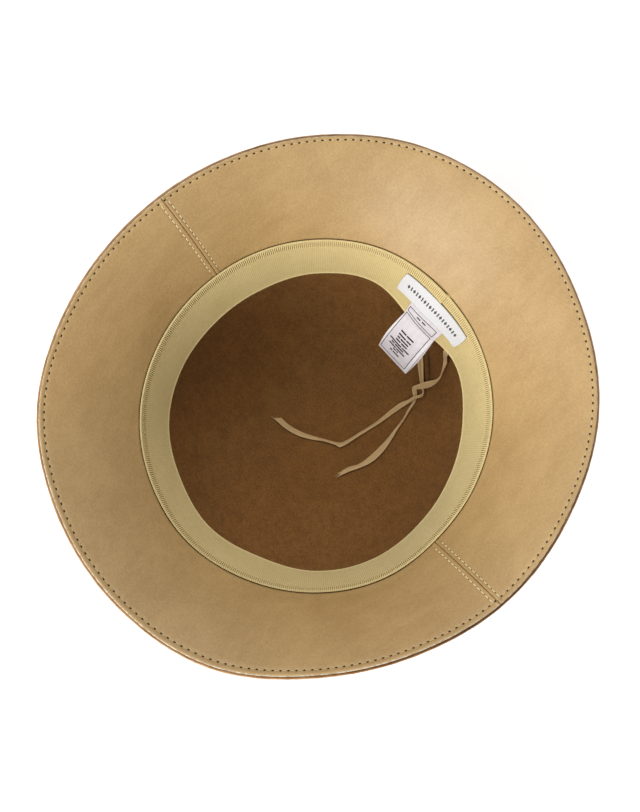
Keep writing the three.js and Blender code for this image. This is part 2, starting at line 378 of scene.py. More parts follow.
@dataclass
class MeshBuilder:
    """Gathers closed walls into one mesh, with a map in metres and a value called tone."""

    points: list[np.ndarray] = field(default_factory=list)
    quads: list[np.ndarray] = field(default_factory=list)
    places: list[np.ndarray] = field(default_factory=list)
    tones: list[np.ndarray] = field(default_factory=list)
    finishes: list[np.ndarray] = field(default_factory=list)
    count: int = 0

    def wall(
        self,
        front: np.ndarray,
        back: np.ndarray,
        closed: bool = False,
        tone: np.ndarray | float = 0.0,
        back_tone: np.ndarray | None = None,
        edge_finish: int = 0,
    ) -> None:
        """Adds a closed wall between two grids of points.

        Args:
            front: the grid of the outer face, rows by columns by three.
            back: the grid of the other face, of the same size.
            closed: True where the last row is followed by the first.
            tone: a value for each place of the grid.
            back_tone: the same for the other face, the front's own if left out.
            edge_finish: the number of the material on the edge along the last column.
        """
        rows, columns = front.shape[:2]
        front_index = self.count + np.arange(rows * columns).reshape(rows, columns)
        step_along = np.linalg.norm(np.diff(front, axis=0, append=front[:1]), axis=2).mean(axis=1)
        along = np.concatenate([[0], np.cumsum(step_along)])
        step_across = np.linalg.norm(np.diff(front, axis=1), axis=2).mean(axis=0)
        across = np.concatenate([[0], np.cumsum(step_across)])
        if closed:
            front_index = np.vstack([front_index, front_index[:1]])
        lines = len(front_index)
        place = np.stack(np.meshgrid(along[:lines], across, indexing="ij"), axis=-1)
        place_index = np.arange(lines * columns).reshape(lines, columns)
        parts = wall_quads(front_index, front_index + rows * columns, closed)
        quads = np.vstack(parts)
        places = np.vstack(wall_quads(place_index, place_index, closed))
        edge_start = sum(len(part) for part in parts[:3])
        finishes = np.zeros(len(quads), int)
        finishes[edge_start : edge_start + len(parts[3])] = edge_finish
        points = np.vstack([front.reshape(-1, 3), back.reshape(-1, 3)])
        if self.faces_inwards(points, quads - self.count):
            quads = quads[:, ::-1]
            places = places[:, ::-1]
        self.points.append(points)
        self.quads.append(quads)
        self.places.append(place.reshape(-1, 2)[places])
        for values in (tone, tone if back_tone is None else back_tone):
            self.tones.append(np.broadcast_to(values, (rows, columns)).ravel())
        self.finishes.append(finishes)
        self.count += len(points)

    @staticmethod
    def faces_inwards(points: np.ndarray, quads: np.ndarray) -> bool:
        """Tells whether the quads of a closed wall point in rather than out.

        Args:
            points: the wall's points.
            quads: the numbers of their corners.

        Returns:
            True where the quads point in.
        """
        corners = points[quads]
        crosses = np.cross(corners[:, 1] - corners[:, 0], corners[:, 2] - corners[:, 0])
        crosses += np.cross(corners[:, 2] - corners[:, 0], corners[:, 3] - corners[:, 0])
        outwards = corners.mean(axis=1) - points.mean(axis=0)
        return bool((outwards * crosses).sum() < 0)

    def thread(self, path: np.ndarray, radius: float) -> None:
        """Adds a round thread along a path, closed at its ends.

        Args:
            path: the points down its middle.
            radius: its radius.
        """
        along = np.gradient(path, axis=0)
        along /= np.linalg.norm(along, axis=1)[:, None]
        aside = np.cross(along, NO_THREAD_RUNS_THIS_WAY)
        aside /= np.linalg.norm(aside, axis=1)[:, None]
        up = np.cross(aside, along)
        faces = THREAD_SIDES // 2 + 1
        grids = []
        for turns in (np.linspace(0, math.pi, faces), np.linspace(FULL_TURN, math.pi, faces)):
            spoke = np.cos(turns)[None, :, None] * aside[:, None]
            spoke = spoke + np.sin(turns)[None, :, None] * up[:, None]
            grids.append(path[:, None] + radius * spoke)
        self.wall(*grids)

    def build(self, name: str, materials: list[bpy.types.Material], sharp: float = 50) -> bpy.types.Object:
        """Makes the object, with doubled points merged and every face pointing out.

        Args:
            name: the piece's name.
            materials: the materials, in the order of the walls' finish numbers.
            sharp: faces that meet at more than this many degrees keep a hard edge.

        Returns:
            The piece.
        """
        mesh = bpy.data.meshes.new(name)
        quads = np.vstack(self.quads)
        mesh.from_pydata(np.vstack(self.points).tolist(), [], quads.tolist())
        layer = mesh.uv_layers.new(name="map")
        layer.data.foreach_set("uv", np.vstack(self.places).reshape(-1).astype(np.float32))
        tone = mesh.attributes.new("tone", "FLOAT", "POINT")
        tone.data.foreach_set("value", np.concatenate(self.tones).astype(np.float32))
        mesh.polygons.foreach_set("material_index", np.concatenate(self.finishes).astype(np.int32))
        mesh.polygons.foreach_set("use_smooth", np.ones(len(quads), bool))
        for material in materials:
            mesh.materials.append(material)
        merge_doubles(mesh)
        mesh.set_sharp_from_angle(angle=math.radians(sharp))
        return add_object(name, mesh)


def merge_doubles(mesh: bpy.types.Mesh) -> None:
    """Merges points that fall together, as at a pole, and drops the faces left empty.

    Args:
        mesh: the mesh, which is changed.
    """
    work = bmesh.new()
    work.from_mesh(mesh)
    bmesh.ops.remove_doubles(work, verts=work.verts, dist=SAME_POINT)
    bmesh.ops.dissolve_degenerate(work, edges=work.edges, dist=NO_LENGTH)
    work.to_mesh(mesh)
    work.free()


def patch(
    surface: Surface, corners: np.ndarray, proud: float, thickness: float, steps: tuple[int, int] = (4, 4)
) -> tuple[np.ndarray, np.ndarray]:
    """Front and back grids of a small mark lying on a surface.

    Args:
        surface: gives the point at two map coordinates and a height.
        corners: four map points, in order round the mark.
        proud: height of the mark's back over the surface.
        thickness: of the mark.
        steps: points along each of its two sides.

    Returns:
        The outer grid and the other one.
    """
    s, t = np.meshgrid(np.linspace(0, 1, steps[0]), np.linspace(0, 1, steps[1]), indexing="ij")
    weights = ((1 - s) * (1 - t), s * (1 - t), s * t, (1 - s) * t)
    u, v = (sum(w * corner[axis] for w, corner in zip(weights, corners)) for axis in (0, 1))
    return surface(u, v, proud + thickness), surface(u, v, proud)


# Node trees


@dataclass
class Graph:
    """A node tree with a short way to add its nodes."""

    tree: bpy.types.NodeTree

    def feed(self, socket: bpy.types.NodeSocket, value: object) -> None:
        """Links an input to another node's output, or sets its value.

        Args:
            socket: the input.
            value: another node's output, or a plain value.
        """
        if isinstance(value, bpy.types.NodeSocket):
            self.tree.links.new(value, socket)
        else:
            socket.default_value = value

    def add(self, kind: str, inputs: dict | None = None, **settings: object) -> bpy.types.Node:
        """Adds a node.

        Args:
            kind: the node's type.
            inputs: values or other nodes' sockets, by input name or number.
            **settings: properties of the node.

        Returns:
            The node.
        """
        node = self.tree.nodes.new(kind)
        for name, value in settings.items():
            setattr(node, name, value)
        for key, value in (inputs or {}).items():
            self.feed(node.inputs[key], value)
        return node

    def math(self, operation: str, *values: object, clamp: bool = False) -> bpy.types.NodeSocket:
        """Adds a Math node and gives its result."""
        inputs = dict(enumerate(values))
        return self.add("ShaderNodeMath", inputs, operation=operation, use_clamp=clamp).outputs[0]

    def blend(self, *parts: tuple[bpy.types.NodeSocket, float]) -> bpy.types.NodeSocket:
        """The sum of some values, each times its share.

        Returns:
            The sum.
        """
        (value, share), *others = parts
        total = self.math("MULTIPLY", value, share)
        for value, share in others:
            total = self.math("MULTIPLY_ADD", value, share, total)
        return total

    def ramp(self, value: bpy.types.NodeSocket, low: float, high: float) -> bpy.types.NodeSocket:
        """A value stretched so that low becomes 0 and high becomes 1, with soft ends."""
        inputs = {"Value": value, "From Min": low, "From Max": high}
        return self.add("ShaderNodeMapRange", inputs, interpolation_type="SMOOTHSTEP").outputs[0]

    def noise(self, place: bpy.types.NodeSocket, size: float, detail: float = 2) -> bpy.types.NodeSocket:
        """Noise between 0 and 1 whose waves have this size in metres."""
        inputs = {"Vector": place, "Scale": 1 / size, "Detail": detail, "Roughness": 0.55}
        return self.add("ShaderNodeTexNoise", inputs).outputs["Fac"]

    def mix(self, share: object, first: object, second: object) -> bpy.types.NodeSocket:
        """A colour between two others. The node keeps its colours in inputs 6 and 7 and in output 2."""
        return self.add("ShaderNodeMix", {0: share, 6: first, 7: second}, data_type="RGBA").outputs[2]

    def bump(
        self, height: bpy.types.NodeSocket, depth: float, below: bpy.types.NodeSocket | None = None
    ) -> bpy.types.NodeSocket:
        """A surface direction from a height between 0 and 1.

        Args:
            height: the height.
            depth: how deep the whole relief is, in metres.
            below: the direction from another bump under this one.

        Returns:
            The direction.
        """
        inputs = {"Height": height, "Distance": depth, "Strength": 1.0}
        if below is not None:
            inputs["Normal"] = below
        return self.add("ShaderNodeBump", inputs).outputs[0]


@dataclass
class SurfaceGraph(Graph):
    """The nodes of one material round its Principled shader."""

    material: bpy.types.Material
    shader: bpy.types.Node
    place: bpy.types.NodeSocket
    map: bpy.types.NodeSocket

    @classmethod
    def new(cls, name: str) -> "SurfaceGraph":
        """A new material with its shader, object coordinates and map coordinates.

        Args:
            name: the material's name.

        Returns:
            The graph.
        """
        material = bpy.data.materials.new(name)
        material.use_nodes = True
        tree = material.node_tree
        tree.nodes.clear()
        shader = tree.nodes.new("ShaderNodeBsdfPrincipled")
        output = tree.nodes.new("ShaderNodeOutputMaterial")
        tree.links.new(shader.outputs[0], output.inputs[0])
        coordinates = tree.nodes.new("ShaderNodeTexCoord")
        uv_map = tree.nodes.new("ShaderNodeUVMap")
        uv_map.uv_map = "map"
        return cls(tree, material, shader, coordinates.outputs["Object"], uv_map.outputs["UV"])

    def toned(self, body: bpy.types.NodeSocket, pale: Colour, deep: Colour) -> bpy.types.NodeSocket:
        """A colour turned paler where the mesh's value called tone is over 0, and deeper below 0.

        Args:
            body: the colour where the tone is 0.
            pale: the colour where it is 1.
            deep: the colour where it is -1.

        Returns:
            The colour.
        """
        # The tone paints light and shade: painted shade below 0 on the felt, the ties, the care label and
        # under the sweatband's ribs; painted highlights above 0 along the felt's rim and the edges of the
        # ties and the care label.
        tone = self.add("ShaderNodeAttribute", attribute_name="tone").outputs["Fac"]
        paler = self.mix(self.math("MULTIPLY", tone, 1.0, clamp=True), body, pale)
        return self.mix(self.math("MULTIPLY", tone, -1.0, clamp=True), paler, deep)

    def set(self, **values: object) -> None:
        """Sets inputs of the shader, by their names with underscores for spaces."""
        for name, value in values.items():
            self.feed(self.shader.inputs[name.replace("_", " ")], value)


@dataclass
class GeometryTree(Graph):
    """A Geometry Nodes tree with named inputs."""

    entry: bpy.types.Node
    exit: bpy.types.Node

    @classmethod
    def new(cls, name: str) -> "GeometryTree":
        """A new tree with a geometry input and output.

        Args:
            name: the tree's name.

        Returns:
            The tree.
        """
        tree = bpy.data.node_groups.new(name, "GeometryNodeTree")
        for direction in ("INPUT", "OUTPUT"):
            tree.interface.new_socket("Geometry", in_out=direction, socket_type="NodeSocketGeometry")
        return cls(tree, tree.nodes.new("NodeGroupInput"), tree.nodes.new("NodeGroupOutput"))

    def open_inputs(self, kind: str, *names: str) -> None:
        """Opens named inputs of one kind."""
        for name in names:
            self.tree.interface.new_socket(name, in_out="INPUT", socket_type=kind)

    def end_with(self, geometry: bpy.types.NodeSocket) -> None:
        """Makes a geometry the tree's result."""
        self.tree.links.new(geometry, self.exit.inputs[0])

    def apply(self, guide: bpy.types.Object, name: str, values: dict[str, object]) -> bpy.types.Object:
        """Runs the tree on a guide and keeps the result as a plain mesh.

        Args:
            guide: the object whose points or edges are followed. It is removed.
            name: the new piece's name.
            values: the tree's inputs by name.

        Returns:
            The new piece.
        """
        modifier = guide.modifiers.new(name, "NODES")
        modifier.node_group = self.tree
        for item in self.tree.interface.items_tree:
            if item.in_out == "INPUT" and item.name in values:
                modifier[item.identifier] = values[item.name]
        graph = bpy.context.evaluated_depsgraph_get()
        mesh = bpy.data.meshes.new_from_object(guide.evaluated_get(graph))
        mesh.name = name
        guide.modifiers.remove(modifier)
        bpy.data.objects.remove(guide)
        return add_object(name, mesh)


def guide_line(lines: list[tuple[np.ndarray, np.ndarray]], closed: bool = False) -> bpy.types.Object:
    """A guide of open or closed lines for a Geometry Nodes tree.

    Args:
        lines: the points of each line, and the direction off the surface at each of them.
        closed: True where each line ends where it starts.

    Returns:
        An object that holds only points and edges.
    """
    mesh = bpy.data.meshes.new("guide")
    points = np.vstack([line[0] for line in lines])
    facing = np.vstack([line[1] for line in lines])
    edges = []
    first = 0
    for line, _ in lines:
        edges += [(first + k, first + k + 1) for k in range(len(line) - 1)]
        if closed:
            edges.append((first + len(line) - 1, first))
        first += len(line)
    mesh.from_pydata(points.tolist(), edges, [])
    attribute = mesh.attributes.new("facing", "FLOAT_VECTOR", "POINT")
    attribute.data.foreach_set("vector", facing.reshape(-1).astype(np.float32))
    return add_object("guide", mesh)


def row_points(tree: GeometryTree) -> tuple[bpy.types.NodeSocket, bpy.types.NodeSocket]:
    """Adds the nodes that turn a guide's points into places for a repeated piece.

    Args:
        tree: the tree.

    Returns:
        The points, and a turn whose Z is off the surface and whose X runs along the line.
    """
    curve = tree.add("GeometryNodeMeshToCurve", {"Mesh": tree.entry.outputs["Geometry"]}).outputs[0]
    tangent = tree.add("GeometryNodeInputTangent").outputs[0]
    facing = tree.add("GeometryNodeInputNamedAttribute", {"Name": "facing"}, data_type="FLOAT_VECTOR")
    axes = {"Primary Axis": facing.outputs["Attribute"], "Secondary Axis": tangent}
    turn = tree.add("FunctionNodeAxesToRotation", axes, primary_axis="Z", secondary_axis="X")
    return curve, turn.outputs[0]


def placed(
    tree: GeometryTree,
    points: bpy.types.NodeSocket,
    turn: bpy.types.NodeSocket,
    shape: bpy.types.NodeSocket,
    finish: bpy.types.NodeSocket,
) -> bpy.types.NodeSocket:
    """Adds the nodes that put a shape at each point, as real geometry with its finish.

    Args:
        tree: the tree.
        points: where the copies go.
        turn: the turn of each copy.
        shape: what is copied.
        finish: its material.

    Returns:
        The geometry.
    """
    inputs = {"Points": points, "Instance": shape, "Rotation": turn}
    copies = tree.add("GeometryNodeInstanceOnPoints", inputs).outputs[0]
    real = tree.add("GeometryNodeRealizeInstances", {"Geometry": copies}).outputs[0]
    smooth = tree.add("GeometryNodeSetShadeSmooth", {"Geometry": real, "Shade Smooth": True}).outputs[0]
    return tree.add("GeometryNodeSetMaterial", {"Geometry": smooth, "Material": finish}).outputs[0]


def arched_thread(
    tree: GeometryTree, start: bpy.types.NodeSocket, length: bpy.types.NodeSocket, rise: bpy.types.NodeSocket
) -> bpy.types.NodeSocket:
    """Adds the nodes of one arched thread along X, its ends under the surface.

    Args:
        tree: the tree.
        start: where the thread starts along X.
        length: how long it is.
        rise: how far its middle stands over its ends.

    Returns:
        The thread's geometry.
    """
    thickness = tree.entry.outputs["Thread Thickness"]
    dip = tree.math("MULTIPLY", thickness, -THREAD_DIP)
    end = tree.math("ADD", start, length)
    middle = tree.math("MULTIPLY_ADD", length, 0.5, start)
    vectors = []
    for x, z in ((start, dip), (middle, tree.math("MULTIPLY_ADD", rise, 2.0, dip)), (end, dip)):
        vectors.append(tree.add("ShaderNodeCombineXYZ", {"X": x, "Z": z}).outputs[0])
    inputs = {"Resolution": THREAD_STEPS, "Start": vectors[0], "Middle": vectors[1], "End": vectors[2]}
    curve = tree.add("GeometryNodeCurveQuadraticBezier", inputs).outputs[0]
    radius = tree.math("MULTIPLY", thickness, 0.5)
    inputs = {"Resolution": THREAD_SIDES, "Radius": radius}
    profile = tree.add("GeometryNodeCurvePrimitiveCircle", inputs).outputs[0]
    inputs = {"Curve": curve, "Profile Curve": profile, "Fill Caps": True}
    return tree.add("GeometryNodeCurveToMesh", inputs).outputs[0]


def stitch_tree() -> GeometryTree:
    """A row of stitches: at each guide point a dark flattened ball, painted shade that stands for the needle
    hole, and a thread on towards the next one.

    Returns:
        The tree.
    """
    tree = GeometryTree.new("stitch_row")
    sizes = ("Thread Start", "Thread Length", "Thread Thickness", "Thread Rise", "Hole Size")
    tree.open_inputs("NodeSocketFloat", *sizes)
    tree.open_inputs("NodeSocketMaterial", "Thread Finish", "Hole Shade Finish")
    sockets = tree.entry.outputs
    points, turn = row_points(tree)
    thread = arched_thread(tree, sockets["Thread Start"], sockets["Thread Length"], sockets["Thread Rise"])
    radius = tree.math("MULTIPLY", sockets["Hole Size"], 0.5)
    inputs = {"Segments": HOLE_SEGMENTS, "Rings": HOLE_RINGS, "Radius": radius}
    # The hole: a flattened ball whose dark finish is painted shade.
    ball = tree.add("GeometryNodeMeshUVSphere", inputs).outputs[0]
    flat = tree.add("GeometryNodeTransform", {"Geometry": ball, "Scale": HOLE_SHAPE}).outputs[0]
    rows = [
        placed(tree, points, turn, thread, sockets["Thread Finish"]),
        placed(tree, points, turn, flat, sockets["Hole Shade Finish"]),
    ]
    joined = tree.add("GeometryNodeJoinGeometry").inputs[0]
    for row in rows:
        tree.tree.links.new(row, joined)
    tree.end_with(joined.node.outputs[0])
    return tree


def rib_tree() -> GeometryTree:
    """A row of woven ribs: at each guide point a short thread across the line.

    Returns:
        The tree.
    """
    tree = GeometryTree.new("rib_row")
    tree.open_inputs("NodeSocketFloat", "Rib Length", "Thread Thickness", "Rib Rise")
    tree.open_inputs("NodeSocketMaterial", "Rib Finish")
    sockets = tree.entry.outputs
    points, turn = row_points(tree)
    start = tree.math("MULTIPLY", sockets["Rib Length"], -0.5)
    thread = arched_thread(tree, start, sockets["Rib Length"], sockets["Rib Rise"])
    quarter = (0.0, 0.0, math.pi / 2)
    across = tree.add("GeometryNodeTransform", {"Geometry": thread, "Rotation": quarter}).outputs[0]
    tree.end_with(placed(tree, points, turn, across, sockets["Rib Finish"]))
    return tree


# Finishes


class Slot(Enum):
    """The material slots of the hat's pieces."""

    FELT = "felt"
    LEATHER = "leather"
    RIBBON = "ribbon"
    WOVEN_LABEL = "woven_label"
    SATIN = "satin"
    TIE = "tie"


@dataclass(frozen=True)
class FeltFinish:
    """Brown wool felt, matt, with a short nap that lies in soft clouds."""

    dark: Colour = (0.140, 0.062, 0.016, 1)
    light: Colour = (0.230, 0.106, 0.029, 1)
    # edge is the colour of the painted highlight along the rim; deep is that of the painted shade in the
    # crease, on the rim's shaded stretch and round the ties.
    edge: Colour = (0.460, 0.285, 0.150, 1)
    deep: Colour = (0.060, 0.024, 0.006, 1)
    nap_size: float = 0.0009
    nap_depth: float = 0.00025
    cloud_size: float = 0.012
    shares: tuple[float, float, float] = (0.2, 0.25, 0.55)
    shades: tuple[float, float] = (0.33, 0.67)

    def material(self) -> bpy.types.Material:
        """Makes the material.

        Returns:
            The material.
        """
        graph = SurfaceGraph.new("wool_felt")
        nap = graph.noise(graph.place, self.nap_size, 3)
        tufts = graph.noise(graph.place, self.nap_size * 4, 2)
        clouds = graph.noise(graph.place, self.cloud_size, 3)
        shade = graph.blend(*zip((clouds, tufts, nap), self.shares))
        body = graph.mix(graph.ramp(shade, *self.shades), self.dark, self.light)
        bump = graph.bump(tufts, self.nap_depth * 1.5)
        graph.set(
            Base_Color=graph.toned(body, self.edge, self.deep),
            Roughness=0.95,
            Specular_IOR_Level=0.2,
            Sheen_Weight=0.25,
            Sheen_Roughness=0.45,
            Sheen_Tint=(0.55, 0.40, 0.26, 1),
            Normal=graph.bump(nap, self.nap_depth, bump),
        )
        return graph.material


@dataclass(frozen=True)
class LeatherFinish:
    """Tan smooth leather with a fine grain, faint pulls and pores, and a low sheen."""

    light: Colour = (0.408, 0.268, 0.112, 1)
    deep: Colour = (0.328, 0.203, 0.078, 1)
    pore: Colour = (0.240, 0.135, 0.050, 1)
    grain_size: float = 0.0008
    grain_depth: float = 0.00009
    pull_size: float = 0.006
    pull_depth: float = 0.00025
    pull_stretch: tuple[float, float, float] = (1.0, 0.35, 0.8)
    pull_turn: float = math.radians(35)
    cloud_size: float = 0.03
    shares: tuple[float, float, float] = (0.4, 0.35, 0.5)
    shades: tuple[float, float] = (0.40, 0.85)
    pore_share: float = 0.25

    def material(self) -> bpy.types.Material:
        """Makes the material.

        Returns:
            The material.
        """
        graph = SurfaceGraph.new("tan_leather")
        inputs = {"Vector": graph.place, "Scale": 1 / self.grain_size, "Randomness": 0.9}
        cells = graph.add("ShaderNodeTexVoronoi", inputs, feature="SMOOTH_F1").outputs["Distance"]
        grain = graph.noise(graph.place, self.grain_size * 0.7, 3)
        relief = graph.blend((grain, 0.5), (cells, 0.7))
        turn = (0.0, 0.0, self.pull_turn)
        inputs = {"Vector": graph.place, "Scale": self.pull_stretch, "Rotation": turn}
        stretched = graph.add("ShaderNodeMapping", inputs).outputs[0]
        pulls = graph.noise(stretched, self.pull_size, 4)
        clouds = graph.noise(graph.place, self.cloud_size, 3)
        specks = graph.noise(graph.place, self.grain_size * 1.5, 2)
        shade = graph.blend(*zip((clouds, pulls, specks), self.shares))
        body = graph.mix(graph.ramp(shade, *self.shades), self.deep, self.light)
        inputs = {"Vector": graph.place, "Scale": 1 / (self.grain_size * 3.2)}
        dots = graph.add("ShaderNodeTexVoronoi", inputs).outputs["Distance"]
        pores = graph.math("SUBTRACT", 1.0, graph.ramp(dots, 0.05, 0.16))
        gloss = graph.math("MULTIPLY_ADD", grain, 0.14, 0.41)
        bump = graph.bump(pulls, self.pull_depth)
        graph.set(
            Base_Color=graph.mix(graph.math("MULTIPLY", pores, self.pore_share), body, self.pore),
            Roughness=gloss,
            Specular_IOR_Level=0.5,
            Normal=graph.bump(relief, self.grain_depth, bump),
        )
        return graph.material


@dataclass(frozen=True)
class PlainFinish:
    """A plain fibrous or cut surface, mottled at one size."""

    name: str
    dark: Colour
    light: Colour
    grain_size: float = 0.0005
    grain_depth: float = 0.00008
    shades: tuple[float, float] = (0.3, 0.7)
    roughness: float = 0.85

    def material(self) -> bpy.types.Material:
        """Makes the material.

        Returns:
            The material.
        """
        graph = SurfaceGraph.new(self.name)
        grain = graph.noise(graph.place, self.grain_size, 3)
        graph.set(
            Base_Color=graph.mix(graph.ramp(grain, *self.shades), self.dark, self.light),
            Roughness=self.roughness,
            Specular_IOR_Level=0.3,
            Normal=graph.bump(grain, self.grain_depth),
        )
        return graph.material


@dataclass(frozen=True)
class WovenFinish:
    """A woven band or tape, whose threads follow its map: warp along it and weft across."""

    name: str
    dark: Colour
    light: Colour
    edge: Colour
    deep: Colour
    weft_pitch: float = 0.0005
    warp_pitch: float = 0.0008
    depth: float = 0.00008
    contrast: float = 0.2
    slub_size: float = 0.0022
    cloud_size: float = 0.02
    shades: tuple[float, float] = (0.3, 0.7)
    roughness: float = 0.75
    sheen: float = 0.2

    def material(self) -> bpy.types.Material:
        """Makes the material.

        Returns:
            The material.
        """
        graph = SurfaceGraph.new(self.name)
        split = graph.add("ShaderNodeSeparateXYZ", {"Vector": graph.map})
        waves = []
        for socket, pitch in ((split.outputs["X"], self.weft_pitch), (split.outputs["Y"], self.warp_pitch)):
            phase = graph.math("MULTIPLY", socket, FULL_TURN / pitch)
            waves.append(graph.math("MULTIPLY_ADD", graph.math("SINE", phase), 0.5, 0.5))
        weft, warp = waves
        weave = graph.blend((warp, 0.4), (weft, 0.6))
        slub = graph.noise(graph.place, self.slub_size, 3)
        clouds = graph.noise(graph.place, self.cloud_size, 2)
        around_mean = graph.math("SUBTRACT", weave, 0.5)
        shade = graph.blend((clouds, 0.3), (slub, 0.5), (around_mean, self.contrast))
        shade = graph.math("ADD", shade, 0.1)
        body = graph.mix(graph.ramp(shade, *self.shades), self.dark, self.light)
        graph.set(
            Base_Color=graph.toned(body, self.edge, self.deep),
            Roughness=self.roughness,
            Specular_IOR_Level=0.3,
            Sheen_Weight=self.sheen,
            Sheen_Roughness=0.4,
            Normal=graph.bump(weave, self.depth),
        )
        return graph.material


PLAIN_FINISHES = (
    PlainFinish("cut_leather", (0.25, 0.20, 0.13, 1), (0.60, 0.55, 0.44, 1), grain_size=0.0024),
    # The two hole finishes are painted shade: near-black and dark brown discs that stand for the shade
    # inside the needle holes.
    PlainFinish("needle_hole_shade", (0.015, 0.005, 0.001, 1), (0.036, 0.014, 0.003, 1)),
    PlainFinish("seam_hole_shade", (0.10, 0.060, 0.024, 1), (0.16, 0.095, 0.040, 1)),
    PlainFinish("rim_thread", (0.40, 0.32, 0.16, 1), (0.52, 0.44, 0.25, 1)),
    PlainFinish("seam_thread", (0.58, 0.50, 0.29, 1), (0.70, 0.62, 0.39, 1)),
    PlainFinish(
        name="ribbon_rib",
        dark=(0.63, 0.52, 0.25, 1),
        light=(0.72, 0.61, 0.33, 1),
        grain_size=0.0004,
        grain_depth=0.00005,
    ),
    PlainFinish("label_mark", (0.040, 0.040, 0.045, 1), (0.085, 0.085, 0.095, 1)),
    PlainFinish("label_ink", (0.014, 0.010, 0.011, 1), (0.034, 0.026, 0.028, 1)),
)
WOVEN_FINISHES = (
    # The sweatband's deep colour is the painted shade between its ribs.
    WovenFinish(
        name="sweatband_ribbon",
        dark=(0.47, 0.365, 0.155, 1),
        light=(0.59, 0.480, 0.230, 1),
        edge=(0.67, 0.57, 0.29, 1),
        deep=(0.41, 0.300, 0.130, 1),
        weft_pitch=0.0010,
        warp_pitch=0.0009,
        contrast=0.6,
        depth=0.00003,
    ),
    WovenFinish(
        name="label_taffeta",
        dark=(0.585, 0.592, 0.612, 1),
        light=(0.625, 0.632, 0.652, 1),
        edge=(0.66, 0.665, 0.685, 1),
        deep=(0.50, 0.49, 0.52, 1),
        weft_pitch=0.0003,
        warp_pitch=0.0004,
        depth=0.00003,
        roughness=0.6,
    ),
    # The care label's edge colour is its painted highlight and its deep colour its painted shadow.
    WovenFinish(
        name="label_satin",
        dark=(0.57, 0.54, 0.58, 1),
        light=(0.65, 0.62, 0.66, 1),
        edge=(0.80, 0.79, 0.81, 1),
        deep=(0.34, 0.31, 0.34, 1),
        weft_pitch=0.0002,
        warp_pitch=0.004,
        depth=0.00002,
        roughness=0.38,
    ),
    # The ties' edge colour is their painted highlight and their deep colour their painted shade.
    WovenFinish(
        name="tie_ribbon",
        dark=(0.50, 0.335, 0.155, 1),
        light=(0.58, 0.40, 0.195, 1),
        edge=(0.68, 0.49, 0.26, 1),
        deep=(0.33, 0.20, 0.09, 1),
        warp_pitch=0.0006,
        depth=0.00009,
    ),
)


@dataclass(frozen=True)
class Finishes:
    """Every material of the hat, made once."""

    wool_felt: bpy.types.Material
    tan_leather: bpy.types.Material
    cut_leather: bpy.types.Material
    needle_hole_shade: bpy.types.Material
    seam_hole_shade: bpy.types.Material
    rim_thread: bpy.types.Material
    seam_thread: bpy.types.Material
    sweatband_ribbon: bpy.types.Material
    ribbon_rib: bpy.types.Material
    label_taffeta: bpy.types.Material
    label_mark: bpy.types.Material
    label_satin: bpy.types.Material
    label_ink: bpy.types.Material
    tie_ribbon: bpy.types.Material

    @classmethod
    def make(cls) -> "Finishes":
        """Makes the materials."""
        made = {finish.name: finish.material() for finish in (*PLAIN_FINISHES, *WOVEN_FINISHES)}
        return cls(wool_felt=FeltFinish().material(), tan_leather=LeatherFinish().material(), **made)


def dress(piece: bpy.types.Object, slot: Slot, *nodes: str) -> bpy.types.Object:
    """Lets a piece ride on the hat, and hides the solids that it stands for.

    Args:
        piece: the piece.
        slot: its material slot; not used.
        nodes: names of the solids that it stands for.

    Returns:
        The same piece.
    """
    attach(piece, BODY)
    if nodes:
        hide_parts(*nodes)
    LOG.info("%s: %d faces", piece.name, len(piece.data.polygons))
    return piece


# Studio


class Light(NamedTuple):
    """A square soft light that faces the hat: its place, its power in watts and its colour."""

    name: str
    place: tuple[float, float, float]
    power: float
    colour: tuple[float, float, float]


LIGHTS = (
    Light("key_left", (-0.21, -1.50, 0.87), 16.0, (1.0, 0.99, 0.97)),
    Light("key_right", (0.57, -1.40, 0.87), 22.0, (1.0, 0.99, 0.97)),
    Light("fill_left", (-1.00, 0.27, 1.57), 11.5, (1.0, 1.0, 1.0)),
    Light("fill_back", (-0.27, 1.00, 1.57), 8.0, (1.0, 1.0, 1.0)),
)


